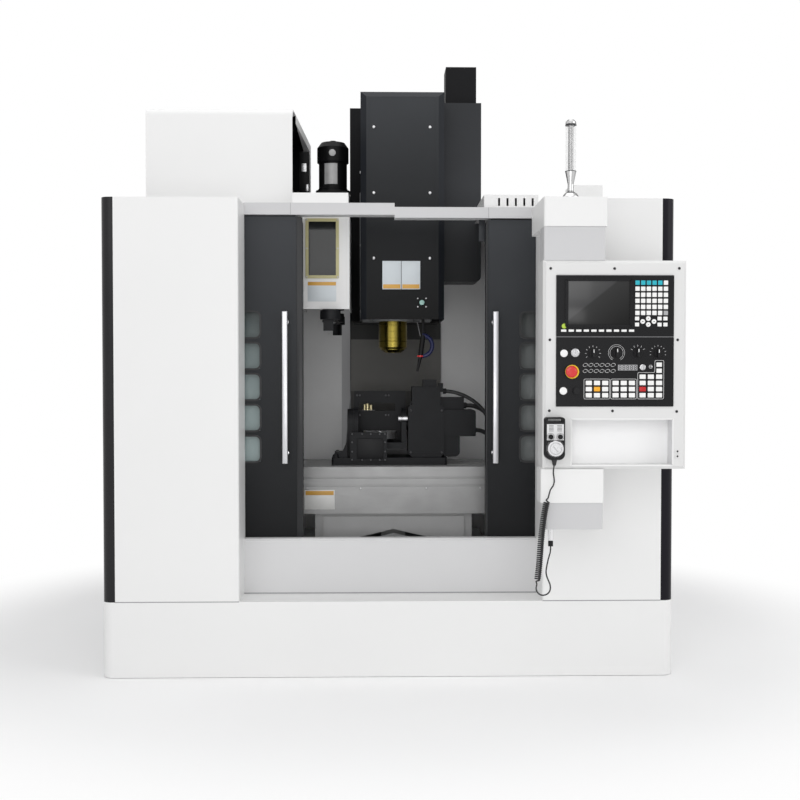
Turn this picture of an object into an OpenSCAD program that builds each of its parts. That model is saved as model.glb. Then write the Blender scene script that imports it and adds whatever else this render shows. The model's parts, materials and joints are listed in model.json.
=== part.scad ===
// Vertical machining centre with a side-mounted tool changer, a tilting rotary
// table on the cross table and an operator pendant on a swivel neck.
// Millimetres. +Z is up, the operator stands at -Y. The origin is the middle of
// the footprint on the floor.

/* [Footprint] */
// Width over the base plinth
machine_w = 2100; // [2080:5:2140]
// Front panels, measured forward of the origin
front_d = 790; // [790:1:792]
// Rear end of the base plinth behind the origin
plinth_rear = 1130; // [1100:5:1140]
// Gap between floor and plinth
foot_h = 22; // [16:1:30]
// Radius of a foot pad
foot_r = 60; // [45:1:70]
// Radius of a foot stud
foot_stud_r = 14; // [10:1:18]
// Height of the plinth's top
plinth_top = 279; // [275:1:285]
// Radius of the plinth's front corners
plinth_corner_r = 40; // [20:1:60]
// Radius of the plinth's lower front edge
plinth_edge_r = 12; // [6:1:16]

/* [Enclosure] */
// Height of the panels' top
panel_top = 1754; // [1750:1:1760]
// Thickness of the sheet metal
sheet = 3; // [2:0.5:4]
// Width of a corner post
post_w = 48; // [40:1:52]
// Depth of a corner post
post_d = 52; // [45:1:60]
// Radius of a corner post's outer edge
post_r = 36; // [20:1:40]
// Width of the left front panel
left_panel_w = 452; // [445:1:455]
// Width of the right front panel
right_panel_w = 437; // [430:1:440]
// Depth of the front panels
panel_d = 190; // [180:1:192]
// Radius of the front panels' edges
panel_edge_r = 9; // [4:1:12]
// Rear end of the outer walls
wall_rear = 450; // [420:5:500]
// Distance from the work centre to the left inner wall
inner_left = 763; // [758:1:768]
// Distance from the work centre to the right inner wall
inner_right = 812; // [806:1:816]
// Front of the inner walls
inner_front = -542; // [-542:1:-535]
// Front of the inner rear wall
inner_rear = 290; // [288:1:294]
// Top of the lower front panel
lower_panel_top = 488; // [480:1:500]
// Lower front panel behind the front panels
lower_panel_set = 150; // [140:1:155]
// Height of the header's underside on the left
header_z = 1717; // [1715:1:1720]
// Height of a header rail
header_h = 45; // [40:1:48]
// Depth of the header
header_d = 66; // [60:1:70]
// Step between the left and the right header rail
header_step = 11; // [8:1:14]
// Top of the header's raised block
header_block_top = 1800; // [1790:1:1820]

/* [Doors] */
// Travel of each door
door_travel = 350; // [345:1:352]
// Width of a leaf
door_w = 590; // [580:1:595]
// Thickness of a leaf
door_t = 40; // [34:1:44]
// Door front behind the front panels
door_set = 195; // [193:1:198]
// Lower edge of a leaf
door_z = 485; // [480:1:486]
// Number of window rows
window_rows = 5; // [3:1:5]
// Height of a window
window_h = 98; // [80:1:104]
// Pitch of the windows
window_pitch = 118.5; // [110:0.5:120]
// Width of a window
window_w = 240; // [200:1:260]
// Lower edge of the lowest window
window_z = 777; // [760:1:790]
// Distance from the leaf's closing edge to its windows
window_in = 163; // [130:1:200]
// Radius of a window's upper inner corner
window_r = 25; // [10:1:35]
// Thickness of a pane
pane_t = 6; // [4:0.5:8]
// Width of a door handle
handle_w = 20; // [16:1:24]
// Lower end of a door handle
handle_z = 772; // [760:1:790]
// Length of a door handle
handle_len = 578; // [540:1:600]
// Distance from the closing edge to the handle
handle_in = 56; // [50:1:70]

/* [Frame and axes] */
// Work centre line beside the middle of the machine
work_x = 23; // [20:1:26]
// Spindle axis in depth
work_y = -145; // [-148:1:-142]
// Width of the column at its front
column_w = 422; // [400:1:430]
// Front face of the column
column_y = 330; // [328:1:334]
// Depth of the column
column_d = 430; // [400:5:440]
// Top of the column
column_top = 2341; // [2320:1:2345]
// Top of the bed casting
bed_top = 400; // [395:1:405]
// Length of the table
table_l = 800; // [780:1:806]
// Depth of the table
table_d = 400; // [390:1:404]
// Height of the table's top
table_top = 735; // [733:1:737]
// Thickness of the table slab
table_t = 80; // [70:1:90]
// Lower edge of the table's apron
apron_z = 545; // [540:1:550]
// Neck width of a T-slot
slot_w = 18; // [14:1:20]
// Depth of a T-slot
slot_d = 32; // [28:1:36]
// Pitch of the T-slots
slot_pitch = 100; // [90:1:105]
// Width of a guide rail
rail_w = 35; // [30:1:38]
// Height of a guide rail
rail_h = 32; // [28:1:34]
// Gap between a rail and its blocks
rail_gap = 0.1; // [0.05:0.05:0.2]
// Radius of the ball screws
screw_r = 16; // [12:1:18]

/* [Head] */
// Width of the head cover
head_w = 342; // [330:1:346]
// Left edge of the head cover from the spindle axis
head_left = 134; // [128:1:138]
// Front of the head cover before the spindle axis
head_front = 165; // [160:1:170]
// Height of the head cover's lower edge
head_z = 1335; // [1335:1:1338]
// Height of the head cover
head_h = 927; // [900:1:940]
// Bevel of the head cover's edges
head_bevel = 24; // [16:1:30]
// Radius of the spindle nose
nose_r = 60; // [55:1:62]
// Length of the spindle nose
nose_h = 130; // [120:1:132]
// Radius at the mouth of the spindle taper
taper_r = 22.2; // [20:0.1:24]
// Depth of the spindle taper
taper_d = 65; // [60:1:70]
// Radius of the spindle shaft
shaft_r = 35; // [32:1:38]
// Width of the booster box
booster_w = 168; // [160:1:175]

/* [Rotary unit] */
// Height of the tilt axis over the table
tilt_h = 170; // [168:1:174]
// Width between the cradle's cheeks
cradle_w = 180; // [170:1:184]
// Radius of the platter
platter_r = 70; // [60:1:74]
// Radius of the platter's centre bore
platter_bore_r = 15; // [12:0.5:20]
// Depth of the platter's centre bore
platter_bore_d = 30; // [25:1:34]
// Width of the drive housing
drive_w = 150; // [144:1:154]
// Radius of the tilt shaft
tilt_shaft_r = 30; // [26:1:32]

/* [Tool changer] */
// Swing radius of the double arm
arm_r = 252; // [248:1:254]
// Underside of the arm
arm_z = 1330; // [1328:1:1332]
// Thickness of the arm
arm_t = 36; // [32:1:38]
// Radius of the arm shaft's sleeve
arm_sleeve_r = 30; // [26:1:32]
// Radius of the arm's own pin
arm_pin_r = 15; // [12:1:18]
// Length of the arm's own pin
arm_pin_l = 12; // [10:1:13]
// Number of tool pots
pots = 12; // [10:1:16]
// Pitch radius of the pots
pot_ring_r = 236; // [232:1:238]
// Outer radius of a pot
pot_r = 36; // [32:1:37]
// Length of a pot
pot_l = 110; // [100:1:118]
// Height of the disc's axis
disc_z = 1790; // [1788:1:1794]
// Width of the magazine cover
mag_w = 575; // [560:1:580]
// Top of the magazine cover
mag_top = 2158; // [2140:1:2165]
// Depth of the magazine cover
mag_d = 620; // [600:1:640]
// Radius of the magazine cover's front bend
mag_bend_r = 32; // [20:1:40]
// Radius of the tool changer's motor
atc_motor_r = 66; // [60:1:68]

/* [Pendant] */
// Width of the pendant
pendant_w = 488; // [480:1:492]
// Height of the pendant
pendant_h = 708; // [700:1:712]
// Depth of the pendant
pendant_d = 105; // [95:1:110]
// Lower edge of the pendant
pendant_z = 790; // [786:1:794]
// Front of the pendant before the front panels
pendant_out = 300; // [296:1:302]
// Bevel of the pendant's front
pendant_bevel = 10; // [6:1:14]
// Width of the black units
unit_w = 400; // [396:1:402]
// Height of the display unit
display_h = 209; // [205:1:210]
// Height of the control unit
control_h = 236; // [232:1:238]
// Lower edge of the control unit
control_z = 1003; // [1000:1:1005]
// Depth of the pocket under the units
pocket_d = 60; // [40:1:70]
// Gap between a control's stem and its hole
stem_gap = 0.05; // [0.03:0.01:0.08]
// Travel of a push button
button_travel = 4; // [3:0.5:5]

/* [Handset] */
// Width of the handset
handset_w = 66; // [60:1:70]
// Height of the handset
handset_h = 143; // [135:1:150]
// Thickness of the handset
handset_d = 41; // [36:1:43]
// Radius of the handset's dial
dial_r = 25.5; // [22:0.5:27]
// Outer diameter of the coiled cord
coil_d = 18; // [16:1:22]
// Diameter of the cord's cable
cable_d = 5; // [4:0.5:6]

/* [Rear] */
// Width of the control cabinet
cabinet_w = 900; // [850:5:920]
// Height of the control cabinet
cabinet_h = 1500; // [1450:5:1550]
// Thickness of the cabinet door
cabinet_door_t = 22; // [18:1:26]
// Radius of the cabinet door's hinge pin
hinge_r = 6; // [5:1:8]
// Radius of the mains cable's inlet
inlet_r = 16; // [12:1:20]

/* [Hidden] */
$fn = 48;
e = 0.01;
half_w = machine_w / 2;
front_y = -front_d;
post_out = half_w - 2;

// Panels and opening
left_panel_x1 = -post_out + post_w + left_panel_w;
right_panel_x0 = post_out - post_w - right_panel_w;
panel_back = front_y + panel_d;
lower_y = front_y + lower_panel_set;
door_y = front_y + door_set;
door_back = door_y + door_t;
left_edge = work_x - door_travel;
right_edge = work_x + door_travel;
header_back = door_back + 12;
header_y = header_back - header_d;
right_header_z = header_z - header_step;
left_door_top = header_z - 5;
right_door_top = right_header_z - 5;
tongue_t = 14;
tongue_h = 16;
tongue_gap = 0.4;
column_x0 = work_x + 19 - column_w / 2;
column_x1 = column_x0 + column_w;
inner_x0 = work_x - inner_left;
inner_x1 = work_x + inner_right;

// Y axis
y_rail_dx = 235;
y_rail_y0 = -530;
y_rail_y1 = 260;
gable_half = 170;
gable_y1 = -415;
gable_z = 436;
gable_rise = 40;
saddle_z = bed_top + rail_h + 6;
bed_rear_half = 340;
saddle_d = 340;
saddle_y0 = work_y - saddle_d / 2;
saddle_w = 640;
saddle_top = 570;
x_rail_dy = 120;
screw_gap = 0.06;
y_screw_z = bed_top + 26;

// Table
table_x0 = work_x - table_l / 2;
table_y0 = work_y - table_d / 2;
table_under = table_top - table_t;
x_screw_z = table_under - 44;
x_rail_z = table_under - rail_h;
apron_t = 8;

// Rotary unit, placed from the tilt axis
tilt_z = table_top + tilt_h;
rot_base_t = 30;
cheek_t = 20;
cradle_x0 = work_x - 55 - cradle_w / 2;
cradle_x1 = cradle_x0 + cradle_w;
cheek_x0 = cradle_x0 - cheek_t;
cheek_x1 = cradle_x1 + cheek_t;
run_gap = 0.4;
drive_gap = 8;
drive_x0 = cheek_x1 + drive_gap;
drive_x1 = drive_x0 + drive_w;
tail_t = 26;
tail_x1 = cheek_x0 - run_gap;
tail_x0 = tail_x1 - tail_t;
shaft_gap = 0.05;
floor_z0 = tilt_z - 105;
platter_z0 = floor_z0 + 40.3;
platter_t = 30;
drive_y0 = work_y - 85;
drive_y1 = work_y + 85;
drive_z0 = table_top + rot_base_t;
drive_top = tilt_z + 153;

// Head
head_x0 = work_x - head_left;
head_x1 = head_x0 + head_w;
head_y0 = work_y - head_front;
head_y1 = 60;
head_top = head_z + head_h;
nose_z = head_z - 3 - nose_h;
hose_x = work_x + 123;
hose_y = work_y - 113;
carriage_dx = 165;
booster_x1 = head_x1 + booster_w;

// Tool changer
arm_x = work_x - arm_r;
arm_top = arm_z + arm_t;
cam_z0 = 1420;
cam_top = 1868;
disc_x = -430;
disc_t = 16;
mag_x0 = -952;
mag_x1 = mag_x0 + mag_w;
mag_y0 = front_y + 350;
mag_z0 = panel_top;
atc_cover_x0 = -345;
atc_cover_x1 = -154;
atc_cover_y = front_y + 400;
atc_cover_z = arm_top + 6;

// Pendant
pend_x0 = 518;
pend_x1 = pend_x0 + pendant_w;
pend_y0 = front_y - pendant_out;
pend_y1 = pend_y0 + pendant_d;
pend_top = pendant_z + pendant_h;
unit_x0 = pend_x0 + 44;
unit_t = 14;
unit_proud = 3;
unit_y0 = pend_y0 - unit_proud;
display_z = control_z + control_h;
swivel_x = 626;
swivel_y = front_y - 245;
neck_x0 = pend_x0 + 3;
neck_w = 210;
neck_h = 115;
neck_y0 = pend_y0 + 8;
neck_d = pendant_d - 12;
bracket_z = pend_top + neck_h + run_gap;
bracket_h = 100;
bracket_w = 216;
swivel_pin_r = 25;
lower_box_h = 115;
lower_grey_h = 91;

// Controls: x and z of each centre on the control unit
POS_START = [587, 1183];
POS_KEY = [626, 1185];
POS_MODE = [687, 1183];
POS_FEED = [767, 1185];
POS_SPINDLE = [839, 1185];
POS_RAPID = [908, 1183];
POS_ESTOP = [611, 1121];
POS_STOP = [585, 1056];
POS_RESET = [630, 1056];
POS_PROGRAM = [856, 1136];
POS_TOGGLE = [883, 1138];
stem_r = 5;
stem_l = 12;
STEM_HOLES = [POS_START, POS_KEY, POS_MODE, POS_FEED, POS_SPINDLE, POS_RAPID,
    POS_STOP, POS_RESET, POS_PROGRAM, POS_TOGGLE];
estop_stem_r = 9;
button_r = 11;
knob_r = 14;
cap_seat = 0.3;

// Handset
hand_x = 553;
hand_z0 = 825;
hand_y1 = pend_y0 - 6;
hand_y0 = hand_y1 - handset_d;
dial_z = hand_z0 + 39;
dial_t = 12;
knob_z = hand_z0 + 78;
knob_dx = 16;
hand_stem_r = 3;

// Cord: hand-picked points of the lead from the handset to the coil, the coil's
// centre line and the lead from the coil to the plug
cord_y = -1117;
LEAD_TOP = [
    [553, cord_y, 825], [553, cord_y, 809], [551, cord_y, 795], [550, cord_y, 780],
    [552, cord_y, 765], [553, cord_y, 751], [550, cord_y, 738], [545, cord_y, 730],
    [540, cord_y, 722], [535, cord_y, 704]];
COIL_LINE = [
    [535, cord_y, 704], [525, cord_y, 668], [518, cord_y, 630], [513, cord_y, 590],
    [509, cord_y, 550], [506, cord_y, 510], [503, cord_y, 470], [499, cord_y, 432],
    [494, cord_y, 397]];
LEAD_END = [
    [494, cord_y, 397], [493, cord_y, 390], [495, cord_y, 380], [502, cord_y, 371],
    [513, cord_y, 366], [527, cord_y, 368], [537, cord_y, 376], [541, cord_y, 388],
    [540, cord_y, 402], [535, cord_y + 1, 415], [530, cord_y + 4, 428],
    [528, cord_y + 10, 442], [531, cord_y + 20, 456], [536, cord_y + 32, 470],
    [541, cord_y + 44, 482], [546, cord_y + 54, 492], [550, cord_y + 62, 501],
    [552, cord_y + 67, 511], [552, cord_y + 67, 522]];
plug_x = 552;
plug_y = cord_y + 67;
plug_z = 522;
socket_r = 9;
socket_h = 42;

// Rear
cab_x0 = work_x + 4 - cabinet_w / 2;
cab_y1 = 1122;
cab_y0 = column_y + column_d + 30;
cab_z0 = 420;
cab_top = cab_z0 + cabinet_h;
cab_door_y1 = 1144;
hinge_x = cab_x0 + 14;
inlet_z = 560;
inlet_y = cab_y1 - 62;

// Box between absolute limits
module block(x0, x1, y0, y1, z0, z1) {
    translate([x0, y0, z0]) cube([x1 - x0, y1 - y0, z1 - z0]);
}

// Cylinder along Z, X or Y from an absolute start
module rod_z(x, y, z0, z1, r) {
    translate([x, y, z0]) cylinder(h = z1 - z0, r = r);
}
module rod_x(x0, x1, y, z, r) {
    translate([x0, y, z]) rotate([0, 90, 0]) cylinder(h = x1 - x0, r = r);
}
module rod_y(x, y0, y1, z, r) {
    translate([x, y1, z]) rotate([90, 0, 0]) cylinder(h = y1 - y0, r = r);
}

// Cone along Y, from r0 at y0 to r1 at y1
module cone_y(x, y0, y1, z, r0, r1) {
    translate([x, y0, z]) rotate([-90, 0, 0]) cylinder(h = y1 - y0, r1 = r0, r2 = r1);
}

// Rectangle with its own radius at each corner: lower left, lower right,
// upper right, upper left
module corner_rect(w, h, rr) {
    difference() {
        square([w, h]);
        for (c = [[0, 0, rr[0], 0], [w, 0, rr[1], 90], [w, h, rr[2], 180], [0, h, rr[3], 270]])
            if (c[2] > 0)
                translate([c[0], c[1]]) rotate(c[3]) difference() {
                    translate([-1, -1]) square(c[2] + 1);
                    translate([c[2], c[2]]) circle(r = c[2]);
                }
    }
}

// Plate in the XZ plane with rounded corners
module plate(x0, x1, y0, y1, z0, z1, rr) {
    translate([x0, y1, z0]) rotate([90, 0, 0]) linear_extrude(y1 - y0)
        corner_rect(x1 - x0, z1 - z0, rr);
}

// Upright block with rounded vertical edges
module post(x0, x1, y0, y1, z0, z1, rr) {
    translate([x0, y0, z0]) linear_extrude(z1 - z0) corner_rect(x1 - x0, y1 - y0, rr);
}

// Profile drawn in YZ and extruded along X
module along_x(x0, x1, pts) {
    translate([x0, 0, 0]) rotate([90, 0, 90]) linear_extrude(x1 - x0) polygon(pts);
}

// Profile drawn in XZ and extruded along Y
module along_y(y0, y1, pts) {
    translate([0, y1, 0]) rotate([90, 0, 0]) linear_extrude(y1 - y0) polygon(pts);
}

// Quarter bend of a round cable in the XZ plane, from level to hanging
module cable_bend(x, y, z, bend, r) {
    translate([x, y, z - bend]) rotate([90, 0, 0]) rotate_extrude(angle = 90)
        translate([bend, 0]) circle(r = r);
}

// Tube swept along a list of points
function unit3(v) = v / norm(v);
function tangent(p, i) = unit3(p[min(i + 1, len(p) - 1)] - p[max(i - 1, 0)]);
function side_of(t) = unit3(cross(t, abs(t[1]) < 0.9 ? [0, 1, 0] : [1, 0, 0]));
module swept_tube(p, d, sides) {
    n = len(p);
    ring = [for (i = [0:n - 1]) let (t = tangent(p, i), a = side_of(t), b = cross(t, a))
        for (k = [0:sides - 1])
            p[i] + d / 2 * (a * cos(360 * k / sides) + b * sin(360 * k / sides))];
    wall = [for (i = [0:n - 2]) for (k = [0:sides - 1]) let (q = (k + 1) % sides)
        for (f = [[i * sides + k, i * sides + q, (i + 1) * sides + q],
                  [i * sides + k, (i + 1) * sides + q, (i + 1) * sides + k]]) f];
    first = [[for (k = [sides - 1:-1:0]) k]];
    last = [[for (k = [0:sides - 1]) (n - 1) * sides + k]];
    polyhedron(points = ring, faces = concat(wall, first, last), convexity = 6);
}

// Standing parts

module levelling_feet() {
    color("dimgray")
    for (x = [-half_w + 110, half_w - 110], y = [front_y + 110, 120, plinth_rear - 110]) {
        rod_z(x, y, 0, 10, foot_r);
        translate([x, y, 10]) cylinder(h = 5, r1 = foot_r, r2 = foot_stud_r + 10);
        rod_z(x, y, 15, foot_h, foot_stud_r);
    }
}

module base_plinth() {
    color("whitesmoke") difference() {
        post(-half_w, half_w, front_y, plinth_rear, foot_h, plinth_top,
            [plinth_corner_r, plinth_corner_r, 20, 20]);
        // rounded lower front edge
        difference() {
            block(-half_w - 1, half_w + 1, front_y - 1, front_y + plinth_edge_r,
                foot_h - 1, foot_h + plinth_edge_r);
            rod_x(-half_w - 1, half_w + 1, front_y + plinth_edge_r,
                foot_h + plinth_edge_r, plinth_edge_r);
        }
        // joint lines of the coolant tank at the back
        block(-560, 560, plinth_rear - 6, plinth_rear + 1, 60, 64);
        block(-560, -556, plinth_rear - 6, plinth_rear + 1, 60, plinth_top + 1);
        block(556, 560, plinth_rear - 6, plinth_rear + 1, 60, plinth_top + 1);
    }
}

module bed_casting() {
    x0 = work_x - 400;
    x1 = work_x + 400;
    color("dimgray") {
        difference() {
            union() {
                block(x0, x1, -560, inner_rear - 24, plinth_top, bed_top);
                block(work_x - bed_rear_half, work_x + bed_rear_half, inner_rear - 24,
                    column_y + column_d, plinth_top, bed_top);
            }
            // casting pockets between the ribs on each side
            for (s = [-1, 1], y = [-500, -290, -80])
                translate([work_x + s * 400 - 40, y, plinth_top + 24]) cube([80, 160, 70]);
            // trough between the rails
            block(work_x - 170, work_x + 170, -520, 230, bed_top - 30, bed_top + 1);
        }
        for (s = [-1, 1])
            block(work_x + s * y_rail_dx - rail_w / 2, work_x + s * y_rail_dx + rail_w / 2,
                y_rail_y0, y_rail_y1, bed_top, bed_top + rail_h);
        // screw with its two bearing blocks
        for (y = [[-515, -485], [190, 220]])
            block(work_x - 45, work_x + 45, y[0], y[1], bed_top - 30, y_screw_z + 20);
        rod_y(work_x, -485, 190, y_screw_z, screw_r);
        // fixed gable cover over the front of the ways
        along_y(-560, gable_y1, [[work_x - gable_half, gable_z], [work_x, gable_z + gable_rise],
            [work_x + gable_half, gable_z], [work_x + gable_half, gable_z - 6],
            [work_x, gable_z + gable_rise - 6], [work_x - gable_half, gable_z - 6]]);
        along_y(-560, -556, [[work_x - gable_half, bed_top], [work_x + gable_half, bed_top],
            [work_x + gable_half, gable_z - 5], [work_x, gable_z + gable_rise - 5],
            [work_x - gable_half, gable_z - 5]]);
    }
}

module column_casting() {
    foot = 60;
    color("slategray") {
        difference() {
            along_y(column_y, column_y + column_d, [[column_x0 - foot, bed_top],
                [column_x1 + foot, bed_top], [column_x1, 1000], [column_x1, column_top],
                [column_x0, column_top], [column_x0, 1000]]);
            // ribbed recesses in the back
            for (z = [520, 960, 1400, 1840])
                block(column_x0 + 60, column_x1 - 60, column_y + column_d - 120,
                    column_y + column_d + 1, z, z + 380);
        }
        for (s = [-1, 1])
            block(work_x + 19 + s * 140 - rail_w / 2, work_x + 19 + s * 140 + rail_w / 2,
                column_y - rail_h, column_y, 1040, column_top - 60);
        // fixed way cover below the head
        block(column_x0 + 4, column_x1 - 4, 268, 271, 560, 1080);
        for (x = [column_x0 + 4, column_x1 - 7])
            block(x, x + 3, 271, column_y, 560, 1080);
    }
}

// Enclosure

module front_panel(x0, x1, square_left) {
    rr = square_left ? [0, panel_edge_r, 0, 0] : [panel_edge_r, 0, 0, 0];
    difference() {
        post(x0, x1, front_y, panel_back, plinth_top, panel_top, rr);
        block(x0 + sheet, x1 - sheet, front_y + sheet, panel_back + 1,
            plinth_top + sheet, panel_top - sheet);
    }
}

module left_front_panel() {
    color("whitesmoke") front_panel(-post_out + post_w, left_panel_x1, true);
}

module right_front_panel() {
    color("whitesmoke") front_panel(right_panel_x0, post_out - post_w, false);
}

module corner_posts() {
    color("darkslategray") {
        post(-post_out, -post_out + post_w, front_y, front_y + post_d,
            plinth_top, panel_top, [post_r, 0, 0, 0]);
        post(post_out - post_w, post_out, front_y, front_y + post_d,
            plinth_top, panel_top, [0, post_r, 0, 0]);
    }
}

module lower_front_panel() {
    color("lightgray") along_x(left_panel_x1, right_panel_x0, [
        [lower_y, plinth_top], [lower_y, lower_panel_top - 8],
        [lower_y + 8, lower_panel_top], [door_y - 1, lower_panel_top],
        [door_y - 1, lower_panel_top - 30], [door_y - 4, lower_panel_top - 30],
        [door_y - 4, lower_panel_top - 3], [lower_y + 9, lower_panel_top - 3],
        [lower_y + 3, lower_panel_top - 9], [lower_y + 3, plinth_top]]);
}

module enclosure_walls() {
    out0 = -post_out;
    out1 = post_out;
    y0 = front_y + post_d;
    color("white") {
        // outer skins with their rear returns
        for (s = [-1, 1]) {
            xa = s < 0 ? out0 : out1 - sheet;
            block(xa, xa + sheet, y0, wall_rear, plinth_top, panel_top);
        }
        block(out0 + sheet, work_x - bed_rear_half - 0.3, wall_rear - sheet, wall_rear, plinth_top,
            panel_top);
        block(work_x + bed_rear_half + 0.3, out1 - sheet, wall_rear - sheet, wall_rear, plinth_top,
            panel_top);
        // inner side walls, standing on the plinth
        block(inner_x0 - sheet, inner_x0, inner_front, inner_rear, plinth_top, panel_top - sheet);
        block(inner_x1, inner_x1 + sheet, inner_front, inner_rear, plinth_top, panel_top - sheet);
        // inner rear walls on both sides of the column
        block(inner_x0 - sheet, column_x0 - 38, inner_rear, inner_rear + sheet, bed_top + 60,
            panel_top - sheet);
        block(column_x1 + 2, inner_x1 + sheet, inner_rear, inner_rear + sheet, bed_top + 60,
            panel_top - sheet);
        // sloped chip floors
        along_y(inner_front, inner_rear, [[inner_x0, 470], [work_x - 400, 330],
            [work_x - 400, 326], [inner_x0, 466]]);
        along_y(inner_front, inner_rear, [[inner_x1, 470], [work_x + 400, 330],
            [work_x + 400, 326], [inner_x1, 466]]);
        // roofs, the left one with the window for the tool disc
        difference() {
            block(out0 + sheet, mag_x1, header_back, wall_rear - sheet, panel_top - sheet, panel_top);
            block(disc_x - 160, disc_x + 40, work_y - 292, work_y + 292,
                panel_top - sheet - 1, panel_top + 1);
            block(disc_x + 39, mag_x1 + 1, work_y - 60.3, work_y + 60.3,
                panel_top - sheet - 1, panel_top + 1);
        }
        difference() {
            block(right_edge, out1 - sheet, header_back, wall_rear - sheet, panel_top - sheet, panel_top);
            // room for the head's booster box
            block(right_edge - 1, booster_x1 + 6, work_y + 32, 66, panel_top - sheet - 1, panel_top + 1);
        }
    }
}

module header_rail(x0, x1, z0, z1) {
    groove = tongue_t + 2 * tongue_gap;
    mid = door_y + door_t / 2;
    difference() {
        block(x0, x1, header_y, header_back, z0, z1);
        block(x0 - 1, x1 + 1, mid - groove / 2, mid + groove / 2, z0 - 1, z0 + 24);
        // the ends stand behind the front panels
        block(x0 - 1, left_panel_x1 + 0.3, header_y - 1, panel_back + 0.3, z0 - 1, z1 + 1);
        block(right_panel_x0 - 0.3, x1 + 1, header_y - 1, panel_back + 0.3, z0 - 1, z1 + 1);
    }
}

module door_header() {
    x0 = left_panel_x1 - 385;
    color("lightgray") {
        header_rail(x0, work_x, header_z, header_z + header_h);
        header_rail(work_x, right_panel_x0 + 420, right_header_z, right_header_z + header_h - 4);
        difference() {
            block(left_edge - 38, left_edge + 174, header_y, header_back + 40,
                header_z + header_h, header_block_top);
            block(left_edge - 35, left_edge + 171, header_y + 3, header_back + 41,
                header_z + header_h - 1, header_block_top - 3);
        }
    }
}

module slotted_cover() {
    z1 = panel_top + 51;
    color("white") {
        difference() {
            block(right_edge - 3, 580, header_back, header_back + 300, panel_top, z1);
            block(right_edge - 1, 578, header_back + 2, header_back + 298, panel_top - 1, z1 - 2);
            for (k = [0:4])
                block(424 + 32.5 * k, 432 + 32.5 * k, header_back - 1, header_back + 3,
                    panel_top + 8, panel_top + 38);
        }
        post(736, 840, header_back + 160, header_back + 280, panel_top, panel_top + 92, [6, 6, 6, 6]);
    }
}

module magazine_cover() {
    y1 = mag_y0 + mag_d;
    t = sheet;
    flare = 36;
    color("white") difference() {
        intersection() {
            // roof line falls a little to the back, front edge bent
            union() {
                along_x(mag_x0, mag_x1 + flare, [[mag_y0, mag_z0], [mag_y0, mag_top - mag_bend_r],
                    [mag_y0 + mag_bend_r, mag_top - mag_bend_r], [mag_y0 + mag_bend_r, mag_top],
                    [y1, mag_top - 24], [y1, mag_z0]]);
                rod_x(mag_x0, mag_x1 + flare, mag_y0 + mag_bend_r, mag_top - mag_bend_r, mag_bend_r);
            }
            translate([0, 0, mag_z0]) linear_extrude(600) polygon([[mag_x0, mag_y0],
                [mag_x1, mag_y0], [mag_x1 + flare, y1], [mag_x0, y1]]);
        }
        // hollow, open below and on the right side
        along_x(mag_x0 + t, mag_x1 + flare - 30, [[mag_y0 + t, mag_z0 - 1], [mag_y0 + t, mag_top - 40],
            [mag_y0 + 40, mag_top - t - 1], [y1 - t, mag_top - 24 - t], [y1 - t, mag_z0 - 1]]);
        along_x(mag_x1 - 60, mag_x1 + flare + 1, [[mag_y0 + 22, mag_z0 + 22],
            [mag_y0 + 22, mag_top - 62], [mag_y0 + 52, mag_top - 36], [y1 - 30, mag_top - 56],
            [y1 - 30, mag_z0 + 22]]);
        // passage of the disc's carrier
        block(mag_x1 - 61, mag_x1 + flare + 1, mag_y0 + 22, work_y + 60.3, mag_z0 - 1, mag_z0 + 23);
    }
}

// Tool changer

module atc_cover() {
    y1 = work_y + 60;
    wx0 = atc_cover_x0 + 16;
    wx1 = wx0 + 133;
    wz0 = 1494;
    wz1 = 1732;
    color("white") {
        difference() {
            block(atc_cover_x0, atc_cover_x1, atc_cover_y, y1, atc_cover_z, panel_top);
            block(atc_cover_x0 + 2, atc_cover_x1 - 2, atc_cover_y + 2, y1 + 1,
                atc_cover_z - 1, panel_top - 2);
            block(wx0 + 10, wx1 - 10, atc_cover_y - 1, atc_cover_y + 3, wz0 + 10, wz1 - 10);
            // roof hole for the cam box
            block(arm_x - 65.3, arm_x + 70.3, work_y - 85.3, y1 + 1, panel_top - 4, panel_top + 1);
            // and the passage of the disc's carrier
            block(atc_cover_x0 - 1, arm_x - 60, work_y - 60.3, y1 + 1, disc_z - 90.3, panel_top + 1);
        }
        // window frame
        difference() {
            plate(wx0, wx1, atc_cover_y - 6, atc_cover_y, wz0, wz1, [4, 4, 4, 4]);
            block(wx0 + 12, wx1 - 12, atc_cover_y - 7, atc_cover_y + 1, wz0 + 12, wz1 - 12);
        }
    }
}

module atc_window() {
    wx0 = atc_cover_x0 + 16 + 10.3;
    color("dimgray", 0.5)
        block(wx0, wx0 + 112.4, atc_cover_y + 0.0, atc_cover_y + 2, 1504.3, 1721.7);
}

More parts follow.
